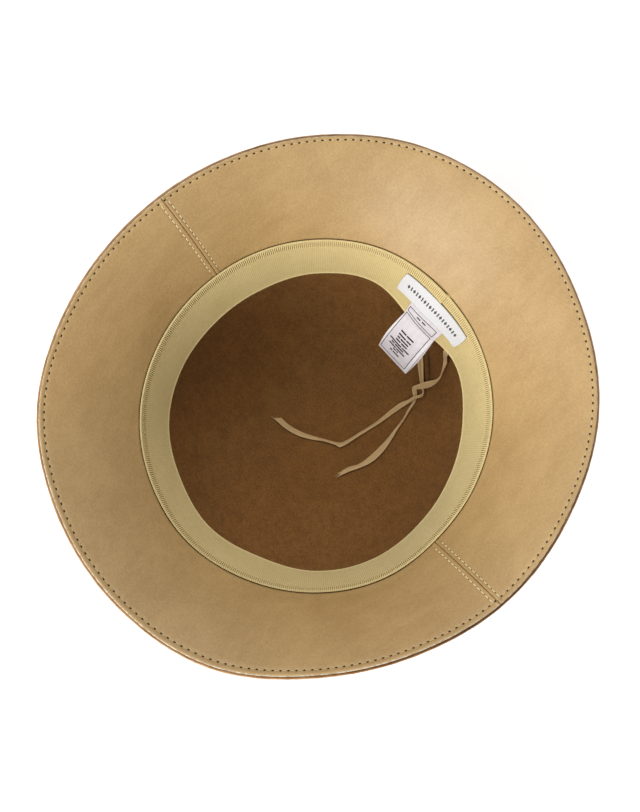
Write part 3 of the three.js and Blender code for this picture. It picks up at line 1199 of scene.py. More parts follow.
@dataclass
class Studio:
    """The camera, the lights and the floor."""

    aim: tuple[float, float, float] = (-0.00125, 0.00401, 0.108)
    distance: float = 1.2
    azimuth: float = math.radians(45)
    elevation: float = math.radians(83.8)
    field_height: float = 0.4174
    sensor: float = 36.0
    light_size: float = 1.0
    room_light: float = 0.50
    floor_half: float = 4.0
    floor_drop: float = 0.0003
    floor_glow: float = 0.14

    def make_camera(self) -> None:
        """Makes the camera, which looks down into the hat over its front right side."""
        data = bpy.data.cameras.new("camera")
        data.sensor_width = self.sensor
        data.lens = self.sensor * self.distance / self.field_height
        camera = add_object("camera", data)
        level, rise = math.cos(self.elevation), math.sin(self.elevation)
        back = Vector((level * math.sin(self.azimuth), -level * math.cos(self.azimuth), rise))
        camera.location = Vector(self.aim) + back * self.distance
        camera.rotation_euler = (math.pi / 2 - self.elevation, 0.0, self.azimuth)
        bpy.context.scene.camera = camera

    def add_light(self, light: Light) -> None:
        """Adds one light, turned to the middle of the hat.

        Args:
            light: the light.
        """
        data = bpy.data.lights.new(light.name, "AREA")
        data.size = self.light_size
        data.energy = light.power
        data.color = light.colour
        lamp = add_object(light.name, data)
        lamp.location = light.place
        towards = Vector((0.0, 0.0, self.aim[2])) - Vector(light.place)
        lamp.rotation_euler = towards.to_track_quat("-Z", "Y").to_euler()

    def make_lights(self) -> None:
        """Makes the soft studio light: two low keys at the front, two high fills and a pale room."""
        for light in LIGHTS:
            self.add_light(light)
        world = bpy.data.worlds.new("room")
        world.use_nodes = True
        background = world.node_tree.nodes["Background"]
        background.inputs["Color"].default_value = (1.0, 1.0, 1.0, 1)
        background.inputs["Strength"].default_value = self.room_light
        bpy.context.scene.world = world
        bpy.context.scene.view_settings.view_transform = "Standard"

    def make_floor(self) -> None:
        """Makes a plain pale floor under the hat."""
        half = self.floor_half
        mesh = bpy.data.meshes.new("floor")
        corners = [(-half, -half, 0), (half, -half, 0), (half, half, 0), (-half, half, 0)]
        mesh.from_pydata(corners, [], [(0, 1, 2, 3)])
        graph = SurfaceGraph.new("pale_floor")
        graph.set(Base_Color=(0.97, 0.97, 0.97, 1), Roughness=0.9)
        graph.set(Emission_Color=(1.0, 1.0, 1.0, 1), Emission_Strength=self.floor_glow)
        mesh.materials.append(graph.material)
        floor = add_object("floor", mesh)
        floor.location.z = -self.floor_drop


# Ribbon ties


class RoutePoint(NamedTuple):
    """A point of a tie: its place, how wide the curled ribbon is there, and its roll in degrees.

    A ribbon with no roll lies flat on the crown's wall. At a fold, corner is how far the ribbon's
    edge is drawn out to a point, on its right side, or on its left side below zero.
    """

    x: float
    y: float
    z: float
    width: float
    roll: float
    corner: float = 0.0


TIE_RIGHT_ROUTE = (
    RoutePoint(0.0242, 0.0802, 0.0770, 0.0030, 0),
    RoutePoint(0.0235, 0.0787, 0.0710, 0.0030, 0),
    RoutePoint(0.0226, 0.0770, 0.0640, 0.0029, 0),
    RoutePoint(0.0222, 0.0755, 0.0560, 0.0034, 0),
    RoutePoint(0.0227, 0.0754, 0.0480, 0.0034, 0),
    RoutePoint(0.0234, 0.0754, 0.0400, 0.0033, 0),
    RoutePoint(0.0244, 0.0751, 0.0340, 0.0027, 0),
    RoutePoint(0.0255, 0.0735, 0.0312, 0.0017, 0),
    RoutePoint(0.0268, 0.0709, 0.0280, 0.0009, 0),
    RoutePoint(0.0278, 0.0686, 0.0246, 0.0010, 0),
    RoutePoint(0.0277, 0.0659, 0.0215, 0.0019, 0),
    RoutePoint(0.0263, 0.0629, 0.0189, 0.0032, 0),
    RoutePoint(0.0246, 0.0601, 0.0170, 0.0035, 0),
    RoutePoint(0.0227, 0.0576, 0.0145, 0.0028, 0),
    RoutePoint(0.0216, 0.0555, 0.0124, 0.0022, 0, 0.0003),
    RoutePoint(0.0226, 0.0545, 0.0112, 0.0028, 0),
    RoutePoint(0.0242, 0.0533, 0.0107, 0.0025, 0),
    RoutePoint(0.0256, 0.0518, 0.0106, 0.0021, 0),
    RoutePoint(0.0267, 0.0497, 0.0097, 0.0017, 0),
    RoutePoint(0.0276, 0.0454, 0.0081, 0.0015, 15),
    RoutePoint(0.0293, 0.0389, 0.0062, 0.0011, 35),
    RoutePoint(0.0302, 0.0325, 0.0044, 0.0018, 15),
    RoutePoint(0.0314, 0.0258, 0.0033, 0.0024, 0),
    RoutePoint(0.0320, 0.0189, 0.0028, 0.0033, 0),
    RoutePoint(0.0318, 0.0113, 0.0028, 0.0034, 0),
    RoutePoint(0.0301, 0.0043, 0.0029, 0.0023, 0),
    RoutePoint(0.0272, -0.0015, 0.0029, 0.0025, 0),
    RoutePoint(0.0255, -0.0069, 0.0028, 0.0019, 0),
)
TIE_LEFT_ROUTE = (
    RoutePoint(0.0016, 0.0806, 0.0770, 0.0033, 0),
    RoutePoint(0.0017, 0.0798, 0.0705, 0.0033, 0),
    RoutePoint(0.0020, 0.0792, 0.0620, 0.0033, 0),
    RoutePoint(0.0025, 0.0787, 0.0530, 0.0033, 0),
    RoutePoint(0.0034, 0.0780, 0.0440, 0.0033, 0),
    RoutePoint(0.0048, 0.0769, 0.0365, 0.0033, 0),
    RoutePoint(0.0064, 0.0745, 0.0255, 0.0035, 0),
    RoutePoint(0.0091, 0.0715, 0.0222, 0.0037, 0),
    RoutePoint(0.0115, 0.0692, 0.0202, 0.0038, 0),
    RoutePoint(0.0152, 0.0662, 0.0181, 0.0035, 0),
    RoutePoint(0.0185, 0.0634, 0.0166, 0.0029, 0),
    RoutePoint(0.0217, 0.0608, 0.0155, 0.0025, 5),
    RoutePoint(0.0242, 0.0587, 0.0148, 0.0022, 15),
    RoutePoint(0.0264, 0.0573, 0.0147, 0.0012, 40),
    RoutePoint(0.0273, 0.0554, 0.0142, 0.0015, 30),
    RoutePoint(0.0263, 0.0536, 0.0132, 0.0017, 0),
    RoutePoint(0.0252, 0.0518, 0.0120, 0.0018, 0),
    RoutePoint(0.0242, 0.0485, 0.0094, 0.0019, 0),
    RoutePoint(0.0226, 0.0441, 0.0066, 0.0027, 0),
    RoutePoint(0.0216, 0.0393, 0.0047, 0.0026, 0),
    RoutePoint(0.0209, 0.0345, 0.0031, 0.0023, 0),
    RoutePoint(0.0201, 0.0286, 0.0028, 0.0019, 0),
    RoutePoint(0.0189, 0.0228, 0.0028, 0.0017, 0),
    RoutePoint(0.0174, 0.0166, 0.0028, 0.0017, 0),
    RoutePoint(0.0162, 0.0111, 0.0029, 0.0018, 0),
    RoutePoint(0.0150, 0.0067, 0.0028, 0.0021, 0),
    RoutePoint(0.0137, 0.0047, 0.0029, 0.0022, 0, -0.0005),
    RoutePoint(0.0107, 0.0028, 0.0029, 0.0016, 10),
    RoutePoint(0.0059, 0.0001, 0.0028, 0.0015, 20),
    RoutePoint(0.0000, -0.0036, 0.0028, 0.0022, 0),
    RoutePoint(-0.0064, -0.0069, 0.0029, 0.0027, 0),
    RoutePoint(-0.0138, -0.0090, 0.0028, 0.0028, 0),
    RoutePoint(-0.0215, -0.0095, 0.0029, 0.0030, 0),
)


class TieEnd(Enum):
    """How a tie's free end is finished."""

    FRAYED = "frayed"
    SLANTED = "slanted"


@dataclass
class RibbonTie:
    """A narrow flat ribbon along a route, curled where it looks narrow.

    valley gives the first and the last route point between which its right half is painted in shade.
    """

    name: str
    route: tuple[RoutePoint, ...]
    end: TieEnd
    flat_width: float = 0.0038
    thickness: float = 0.00036
    settle: float = 0.0004
    curl: float = 0.22
    corner_width: float = 0.0011
    # Painted shade down the curled stretch, and painted highlights along the edges:
    valley: tuple[float, float] = (0.0, 0.0)
    valley_painted_shade: float = 0.8
    edge_painted_highlight: float = 0.8
    slant: float = 0.0016
    tip_steps: int = 7
    strand_radius: float = 0.00014
    strand_lift: float = 0.001
    steps_each: int = 12
    steps_across: int = 10

    def frames(self) -> tuple[np.ndarray, np.ndarray, np.ndarray, np.ndarray, np.ndarray]:
        """The ribbon's middle line, its widths, and its directions along, across and off its face.

        Returns:
            The line, the widths and the three directions, a row for each step along the tie.
        """
        places = np.linspace(0, len(self.route) - 1, (len(self.route) - 1) * self.steps_each + 1)
        rows = smooth_rows(np.array(self.route)[:, :5], places)
        path, width, roll = rows[:, :3], rows[:, 3], np.radians(rows[:, 4])
        along = np.gradient(path, axis=0)
        along /= np.linalg.norm(along, axis=1)[:, None]
        up = HatShape().crown_facing(path)
        side = np.cross(along, up)
        side /= np.linalg.norm(side, axis=1)[:, None]
        up = np.cross(side, along)
        facing = np.cos(roll)[:, None] * up + np.sin(roll)[:, None] * side
        return path, width, along, np.cross(along, facing), facing

    def corner_reach(self, path: np.ndarray, shares: np.ndarray) -> np.ndarray:
        """How far each point across the ribbon is drawn out at the folds, to the ribbon's right.

        Args:
            path: the ribbon's middle line.
            shares: places across it, -1 to 1.

        Returns:
            A distance for each step along and each place across.
        """
        reach = np.zeros((len(path), len(shares)))
        for point in self.route:
            if point.corner:
                apart = np.linalg.norm(path - np.array(point[:3]), axis=1)
                outer = np.clip(math.copysign(1, point.corner) * shares, 0, 1) ** 2
                reach += point.corner * bell(apart, self.corner_width)[:, None] * outer
        return reach

    def tone(self, count: int, shares: np.ndarray) -> np.ndarray:
        """The ribbon's painted light: painted highlights along both edges, and painted shade down its right
        half where it is curled.

        Args:
            count: steps along the tie.
            shares: places across it, -1 to 1.

        Returns:
            A tone for each step along and each place across.
        """
        places = np.linspace(0, len(self.route) - 1, count)[:, None]
        hollow = np.clip(places - self.valley[0], 0, 1) * np.clip(self.valley[1] - places, 0, 1)
        edges = self.edge_painted_highlight * bell(1 - np.abs(shares), 0.22)
        return edges - self.valley_painted_shade * hollow * bell(shares - 0.25, 0.45)

    def build(self, finish: bpy.types.Material) -> None:
        """Args:
            finish: the ribbon's material.
        """
        path, width, along, across, facing = self.frames()
        shares = np.linspace(-1, 1, self.steps_across + 1)
        cup = self.curl * np.maximum(self.flat_width - width, 0)[:, None] * (shares**2 - 0.3)[None, :]
        middle = path[:, None] + across[:, None] * (shares[None, :] * width[:, None] / 2)[..., None]
        middle = middle + facing[:, None] * (cup - self.settle)[..., None]
        middle += across[:, None] * self.corner_reach(path, shares)[..., None]
        if self.end is TieEnd.SLANTED:
            tip = np.linspace(0, 1, self.tip_steps)[:, None] ** 2
            reach = (tip * shares * -self.slant)[..., None]
            middle[-self.tip_steps :] += along[-self.tip_steps :, None] * reach
        bead = self.thickness / 2 * (0.8 + 0.5 * bell(1 - np.abs(shares), 0.25))
        off_face = facing[:, None] * bead[None, :, None]
        builder = MeshBuilder()
        builder.wall(middle + off_face, middle - off_face, tone=self.tone(len(path), shares))
        piece = builder.build(self.name + "_ribbon", [finish], sharp=75)
        dress(piece, Slot.TIE, self.name)
        strands = self.build_strands(middle, along, facing, finish)
        lengths = np.linalg.norm(np.diff(path, axis=0), axis=1)
        tuple(path[0])
        [tuple(point) for point in path]

    def build_strands(
        self, middle: np.ndarray, along: np.ndarray, facing: np.ndarray, finish: bpy.types.Material
    ) -> bpy.types.Object:
        """Builds the loose threads at the free end, each of its own length, bend and lift.

        Args:
            middle: the grid of points in the middle of the ribbon's thickness.
            along: the ribbon's directions along it.
            facing: its directions off its face.
            finish: the ribbon's material.

        Returns:
            The piece.
        """
        frayed = self.end is TieEnd.FRAYED
        longest = 0.0032 if frayed else 0.0018
        builder = MeshBuilder()
        for number, column in enumerate(range(0, self.steps_across + 1, 2) if frayed else (0,)):
            start = middle[-1, column]
            aside = middle[-1, self.steps_across - column] - start
            reach = longest * (0.55 + 0.45 * math.sin(2.3 * number + 0.7))
            steps = np.linspace(-0.3, 1, 9)[:, None]
            bend = math.sin(1.9 * number) * 0.18
            rise = 0.25 + 0.15 * math.cos(1.3 * number)
            strand = start + along[-1] * steps * reach + aside * bend * steps**2
            builder.thread(strand + facing[-1] * rise * self.strand_lift * steps, self.strand_radius)
        return dress(builder.build(self.name + "_strands", [finish]), Slot.TIE)


# Felt body


@dataclass
class FeltBody:
    """The blocked felt: crown and brim in one piece, with a soft uneven wall."""

    shape: HatShape
    steps_around: int = 360
    flat_steps: int = 12
    dome_steps: int = 62
    brim_steps: int = 9
    rim_steps: tuple[float, ...] = (0.04, 0.02, 0.01, 0.004, 0.0)
    soft_edge: float = 0.0011
    waves: float = 0.00022
    wave_size: float = 0.021
    outer_wave_size: float = 0.034
    crease_angle: float = math.radians(74.5)
    crease_start: tuple[float, float] = (0.0130, 0.0737)
    crease_end: tuple[float, float] = (0.0231, 0.0651)
    crease_depth: float = 0.0012
    crease_breadth: float = 0.0010
    # Painted shade in the crease:
    crease_shade_breadth: float = 0.0005
    crease_painted_shade: float = 0.95
    rim_reach: float = 0.00045
    rim_rounding: float = 0.00045
    rim_fuzz: float = 0.00016
    # Painted highlight along the felt's cut edge, with one stretch of painted shade:
    rim_breadth: float = 0.0009
    shaded_rim_angle: float = math.radians(352)
    shaded_rim_span: float = 0.6
    # Painted shadow on the wall round the ties, below the labels:
    painted_shadow_place: tuple[float, float] = (0.0185, 0.0690)
    painted_shadow_reach: float = 0.014
    painted_shadow_tone: float = 0.42

    def build(self, finish: bpy.types.Material) -> None:
        """Builds the felt body.

        Args:
            finish: the felt's material.
        """
        angle = self.angles()
        crown = self.shape.crown_line(angle, self.flat_steps, self.dome_steps)
        from_edge = np.append(np.linspace(0.9, 0.1, self.brim_steps), self.rim_steps)
        share = 1 + self.rim_reach / self.shape.brim_slant - from_edge
        brim = self.shape.brim_point(*np.broadcast_arrays(angle[:, None], share[None, :]))
        line = np.concatenate([crown, brim], axis=1)
        on_brim = np.arange(line.shape[1]) >= crown.shape[1]
        from_rim = np.where(on_brim, np.linalg.norm(line - line[:, -1:], axis=2), 1.0)
        rounding = self.rim_rounding * bell(from_rim, 0.0005)
        ring = turned(line[:, -1:], angle)
        line[..., 0] += self.rim_fuzz * unevenness(ring, 0.0035, 5.0) * bell(from_rim, 0.0015)
        grid = turned(line, angle)
        wall = np.where(on_brim, 0.0, 1.0)[None, :]
        lift = self.waves * unevenness(grid, self.wave_size, 4.0) * wall
        lift = lift - self.crease(grid, self.crease_breadth) * wall
        inside = turned(raised(line, lift - rounding), angle)
        outer_waves = self.waves * 1.5 * unevenness(grid, self.outer_wave_size, 9.0)
        outside = turned(raised(line, outer_waves + rounding - self.shape.felt), angle)
        inside[..., 2] = self.above(inside[..., 2], self.shape.felt)
        outside[..., 2] = self.above(outside[..., 2], 0.0)
        # The inner face takes a painted highlight near the rim with one stretch of painted shade, painted
        # shade in the crease and a painted shadow round the ties; the outer face takes the painted highlight
        # near the rim.
        rim = bell(from_rim, self.rim_breadth)
        shaded = rim * self.rim_painted_light(angle, ring)
        # Painted shade in the crease.
        shaded = shaded + self.crease_painted_shade * self.crease(grid, self.crease_shade_breadth) / self.crease_depth * wall
        # Painted shadow on the wall round the ties, below the labels.
        from_painted_shadow = np.linalg.norm(grid[..., :2] - self.painted_shadow_place, axis=-1)
        shaded = shaded + self.painted_shadow_tone * bell(from_painted_shadow, self.painted_shadow_reach) * wall
        builder = MeshBuilder()
        builder.wall(inside, outside, closed=True, tone=-shaded, back_tone=rim)
        piece = builder.build("felt_body_fine", [finish], sharp=60)
        dress(piece, Slot.FELT, "felt_body")

    def angles(self) -> np.ndarray:
        """Angles of the columns, closer together beside the crease.

        Returns:
            The angles in rising order.
        """
        even = np.linspace(0, FULL_TURN, self.steps_around, endpoint=False)
        beside = self.crease_angle + np.linspace(-1, 1, 39) * math.radians(6)
        away = np.abs(even - self.crease_angle) > math.radians(6.4)
        return np.sort(np.concatenate([even[away], beside]))

    def rim_painted_light(self, angle: np.ndarray, ring: np.ndarray) -> np.ndarray:
        """Painted light on the felt's cut edge at each angle: a patchy painted highlight all round but for
        one stretch of painted shade.

        Args:
            angle: angles of the columns.
            ring: the points of the rim.

        Returns:
            One value for each column.
        """
        turn = angle - self.shaded_rim_angle
        turn = np.arctan2(np.sin(turn), np.cos(turn))
        return -0.5 + 1.3 * bell(turn, self.shaded_rim_span)[:, None] + 0.5 * unevenness(ring, 0.004, 2.5)

    def crease(self, grid: np.ndarray, breadth: float) -> np.ndarray:
        """Depth of the straight fold in the wall between the ties.

        Args:
            grid: points of the felt.
            breadth: how far the fold reaches to each side.

        Returns:
            The depth at each point.
        """
        start, end = np.array(self.crease_start), np.array(self.crease_end)
        length = np.linalg.norm(end - start)
        along_x, along_y = (end - start) / length
        off = grid[..., :2] - start
        along = (off[..., 0] * along_x + off[..., 1] * along_y) / length
        aside = off[..., 0] * along_y - off[..., 1] * along_x
        return self.crease_depth * bell(along - 0.5, 0.62) * bell(aside, breadth)

    def above(self, height: np.ndarray, level: float) -> np.ndarray:
        """Heights kept over a level, with a soft bend where they meet it.

        Args:
            height: the heights.
            level: the level.

        Returns:
            The heights, none of them below the level.
        """
        soft = self.soft_edge
        over = height - level
        return level + 0.5 * (over + np.sqrt(over**2 + soft**2)) - 0.5 * soft * bell(over, soft)


# Leather brim


class Dent(NamedTuple):
    """A soft groove or dimple in the leather, or a ridge where its depth is below zero."""

    depth: float
    breadth: float

    def at(self, distance: np.ndarray) -> np.ndarray:
        """Its depth at distances from its middle."""
        return self.depth * bell(distance, self.breadth)


@dataclass
class LeatherBrim:
    """The underbrim: two leather panels, sewn together at the sides and to the felt at the rim.

    The rows and columns of a panel's grid are placed in millimetres from its rim, its opening and its
    seams, and between two stitches in shares of their pitch.
    """

    shape: HatShape
    seams: tuple[Seam, Seam] = (SEAM_RIGHT, SEAM_LEFT)
    seam_gap: float = 0.00020
    seam_width: float = 0.0048
    lean_span: float = math.radians(12)
    inner_reach: float = 0.0014
    edge_lift: float = 0.0002
    rim_inset: float = 0.00250
    inset_drift: float = 0.00065
    drift_angle: float = math.radians(300)
    rim_stitches: int = 216
    seam_inset: float = 0.0023
    seam_pitch: float = 0.0035
    thread_lift: float = 0.00004
    rim_round: Dent = Dent(0.00030, 0.00030)
    opening_round: Dent = Dent(0.00030, 0.0004)
    stitch_groove: Dent = Dent(0.00016, 0.0008)
    edge_ridge: Dent = Dent(-0.00003, 0.0011)
    edge_ridge_share: float = 0.45
    seam_ridge: Dent = Dent(-0.00020, 0.0012)
    seam_ridge_aside: float = 0.0011
    seam_valley: Dent = Dent(0.00032, 0.00025)
    seam_groove: Dent = Dent(0.00018, 0.0007)
    hole_dimple: Dent = Dent(0.00022, 0.00085)
    middle_radius: float = 0.130
    rim_rows: tuple[float, ...] = (
        0, 0.1, 0.25, 0.5, 0.9, 1.3, 1.6, 1.9, 2.2, 2.5, 2.8, 3.1, 3.4, 3.8, 4.6, 6.0, 8.0
    )
    opening_rows: tuple[float, ...] = (0, 0.1, 0.25, 0.45, 0.7, 1.1, 1.8, 3.0)
    middle_rows: int = 15
    seam_columns: tuple[float, ...] = (0, 0.15, 0.3, 0.5, 0.75, 1.0, 1.4, 1.8, 2.2, 2.6, 3.0, 3.5, 4.1)
    stitch_columns: tuple[float, ...] = (0, 0.09, 0.18, 0.30, 0.5, 0.70, 0.82, 0.91)

    def stitch_inset(self, angle: np.ndarray) -> np.ndarray:
        """Distance of the rim's stitching from the edge, which drifts a little round the hat."""
        return self.rim_inset + self.inset_drift * np.cos(angle - self.drift_angle)

    def stitch_share(self, angle: np.ndarray) -> np.ndarray:
        """Place of the rim's stitching between the opening and the rim."""
        return 1 - self.stitch_inset(angle) / self.shape.brim_slant

    @cached_property
    def stitch_angles(self) -> np.ndarray:
        """Angles of the needle holes along the rim, evenly spaced along the leather.

        Returns:
            The angles in rising order.
        """
        angle = np.linspace(0, FULL_TURN, 2049)
        line = self.shape.over_brim(angle, self.stitch_share(angle), 0.0)
        along = np.concatenate([[0], np.cumsum(np.linalg.norm(np.diff(line, axis=0), axis=1))])
        marks = (np.arange(self.rim_stitches) + 0.5) / self.rim_stitches * along[-1]
        return np.interp(marks, along, angle)

    def from_seam(self, angle: np.ndarray, share: np.ndarray) -> np.ndarray:
        """Angle between each point and the nearest side seam.

        Args:
            angle: angles about the axis.
            share: places up the brim.

        Returns:
            The angle at each point, never below 0.
        """
        turns = [angle - seam.angle(share) for seam in self.seams]
        return np.minimum(*(np.abs(np.arctan2(np.sin(turn), np.cos(turn))) for turn in turns))

    def from_hole(self, angle: np.ndarray) -> np.ndarray:
        """Angle between each point and the nearest needle hole along the rim.

        Args:
            angle: angles about the axis.

        Returns:
            The angle at each point, never below 0.
        """
        holes = self.stitch_angles
        holes = np.concatenate([holes[-1:] - FULL_TURN, holes, holes[:1] + FULL_TURN])
        around = np.mod(angle, FULL_TURN)
        after = np.searchsorted(holes, around).clip(1, len(holes) - 1)
        return np.minimum(around - holes[after - 1], holes[after] - around)

    def relief(self, angle: np.ndarray, share: np.ndarray) -> np.ndarray:
        """Height of the leather's face over the felt, with its seams and stitches pulled in.

        Args:
            angle: angles about the axis.
            share: places up the brim.

        Returns:
            The height at each point.
        """
        slant = self.shape.brim_slant
        radius = self.shape.brim_point(angle, share)[..., 0]
        from_rim = (1 - share) * slant
        aside = self.from_seam(angle, share) * radius
        inset = self.stitch_inset(angle)
        height = self.shape.layer_gap + self.shape.leather
        for dent, distance in (
            (self.rim_round, from_rim),
            (self.opening_round, share * slant + self.inner_reach),
            (self.stitch_groove, from_rim - inset),
            (self.edge_ridge, from_rim - inset * self.edge_ridge_share),
            (self.seam_ridge, aside - self.seam_ridge_aside),
            (self.seam_valley, aside),
            (self.seam_groove, aside - self.seam_inset),
            (self.hole_dimple, np.hypot(self.from_hole(angle) * radius, from_rim - inset)),
        ):
            height = height - dent.at(distance)
        place = self.shape.over_brim(angle, share, 0.0)
        return height + 0.00014 * unevenness(place, 0.024, 2.0) + 0.00006 * unevenness(place, 0.008, 7.0)

    def face(self, angle: np.ndarray, share: np.ndarray, lift: float = 0.0) -> np.ndarray:
        """Points of the leather's face, or at a lift over it, for arrays of one shape."""
        return self.shape.over_brim(angle, share, self.relief(angle, share) + lift)

    def row_shares(self) -> np.ndarray:
        """Places of a panel's rows between the opening and the rim, closer at both.

        Returns:
            The places in rising order, from a little below the opening.
        """
        slant = self.shape.brim_slant * 1000
        near_rim = np.array(self.rim_rows)
        near_opening = np.array(self.opening_rows) - self.inner_reach * 1000
        middle = np.linspace(near_opening[-1], slant - near_rim[-1], self.middle_rows + 2)[1:-1]
        return np.concatenate([near_opening, middle, slant - near_rim[::-1]]) / slant

    def panel_grid(self, first: Seam, last: Seam) -> tuple[np.ndarray, np.ndarray]:
        """Angles and shares of a panel's points: columns on the stitches, closer beside the seams.

        Args:
            first: the seam where the panel starts.
            last: the seam where it ends.

        Returns:
            The angle and the share of each point, columns by rows.
        """
        each = len(self.stitch_columns)
        steps = np.arange(-each, 2 * self.rim_stitches * each)
        number = steps // each + np.array(self.stitch_columns)[steps % each]
        holes = np.concatenate([self.stitch_angles + turn * FULL_TURN for turn in (-1, 0, 1, 2)])
        columns = np.interp(number, np.arange(len(holes)) - self.rim_stitches, holes)
        start, end = first.rim, last.rim
        near = np.array(self.seam_columns) * 0.001 / self.middle_radius
        between = self.seam_width / self.middle_radius
        columns = columns[(columns > start + between) & (columns < end - between)]
        columns = np.concatenate([start + near, columns, end - near[::-1]])
        angle, share = np.meshgrid(columns, self.row_shares(), indexing="ij")
        lean = np.zeros_like(angle)
        for seam, middle in ((first, start), (last, end)):
            weight = np.clip(1 - np.abs(angle - middle) / self.lean_span, 0, 1)
            lean += weight * (seam.angle(share) - middle)
        return angle + lean, share

    def build_panel(self, name: str, first: Seam, last: Seam, finishes: Finishes) -> None:
        """Builds one panel between two seams.

        Args:
            name: the name of its solid.
            first: the seam where the panel starts.
            last: the seam where it ends.
            finishes: the hat's materials.
        """
        angle, share = self.panel_grid(first, last)
        shift = np.zeros((len(angle), 1))
        shift[0], shift[-1] = self.seam_gap / 2, -self.seam_gap / 2
        edge = np.stack([-np.sin(angle), np.cos(angle), np.zeros_like(angle)], axis=-1) * shift[..., None]
        lift = self.edge_lift * bell((1 - share) * self.shape.brim_slant, 0.0008)
        underside = self.shape.over_brim(angle, share, self.shape.layer_gap + lift)
        builder = MeshBuilder()
        builder.wall(self.face(angle, share) + edge, underside + edge, edge_finish=1)
        piece = builder.build(name + "_fine", [finishes.tan_leather, finishes.cut_leather], sharp=55)
        dress(piece, Slot.LEATHER, name)

    def stitch_row(self, angle: np.ndarray, share: np.ndarray) -> tuple[np.ndarray, np.ndarray]:
        """Points of a stitch row on the leather's face, and the directions off it.

        Args:
            angle: angles of the stitches.
            share: their places up the brim.

        Returns:
            The points, and a direction of length one at each of them.
        """
        here = self.face(angle, share, self.thread_lift)
        around = self.face(angle + 0.0005, share, self.thread_lift) - here
        facing = np.cross(around, self.face(angle, share + 0.002, self.thread_lift) - here)
        facing *= np.sign(facing[:, 2:])
        return here, facing / np.linalg.norm(facing, axis=1)[:, None]

    def seam_rows(self) -> list[tuple[np.ndarray, np.ndarray]]:
        """The stitch rows on both sides of each seam, from near the opening out to the rim's row.

        Returns:
            The points and the directions of each row.
        """
        slant = self.shape.brim_slant
        marks = np.arange(0.0030, slant - self.rim_inset - 0.0012, self.seam_pitch) / slant
        rows = []
        for seam in self.seams:
            angle = seam.angle(marks)
            radius = self.shape.brim_point(angle, marks)[:, 0]
            for side in (-1, 1):
                rows.append(self.stitch_row(angle + side * self.seam_inset / radius, marks))
        return rows

    def build_stitching(self, finishes: Finishes) -> None:
        """Builds the stitching along the rim and the rows on both sides of each seam.

        Args:
            finishes: the hat's materials.
        """
        tree = stitch_tree()
        rim = self.stitch_row(self.stitch_angles, self.stitch_share(self.stitch_angles))
        values = {
            "Thread Start": 0.0004,
            "Thread Length": 0.0031,
            "Thread Thickness": 0.00042,
            "Thread Rise": 0.00034,
            "Hole Size": 0.0016,
            "Thread Finish": finishes.rim_thread,
            "Hole Shade Finish": finishes.needle_hole_shade,
        }
        dress(tree.apply(guide_line([rim], closed=True), "rim_stitching", values), Slot.LEATHER)
        values |= {
            "Thread Start": 0.0006,
            "Thread Length": 0.0024,
            "Thread Thickness": 0.00052,
            "Hole Size": 0.0008,
            "Thread Finish": finishes.seam_thread,
            "Hole Shade Finish": finishes.seam_hole_shade,
        }
        dress(tree.apply(guide_line(self.seam_rows()), "seam_stitching", values), Slot.LEATHER)

    def build(self, finishes: Finishes) -> None:
        """Builds the two panels and their stitching.

        Args:
            finishes: the hat's materials.
        """
        right, left = self.seams
        again = Seam(right.opening + FULL_TURN, right.rim + FULL_TURN)
        self.build_panel("brim_leather_back", right, left, finishes)
        self.build_panel("brim_leather_front", left, again, finishes)
        self.build_stitching(finishes)


# Sweatband


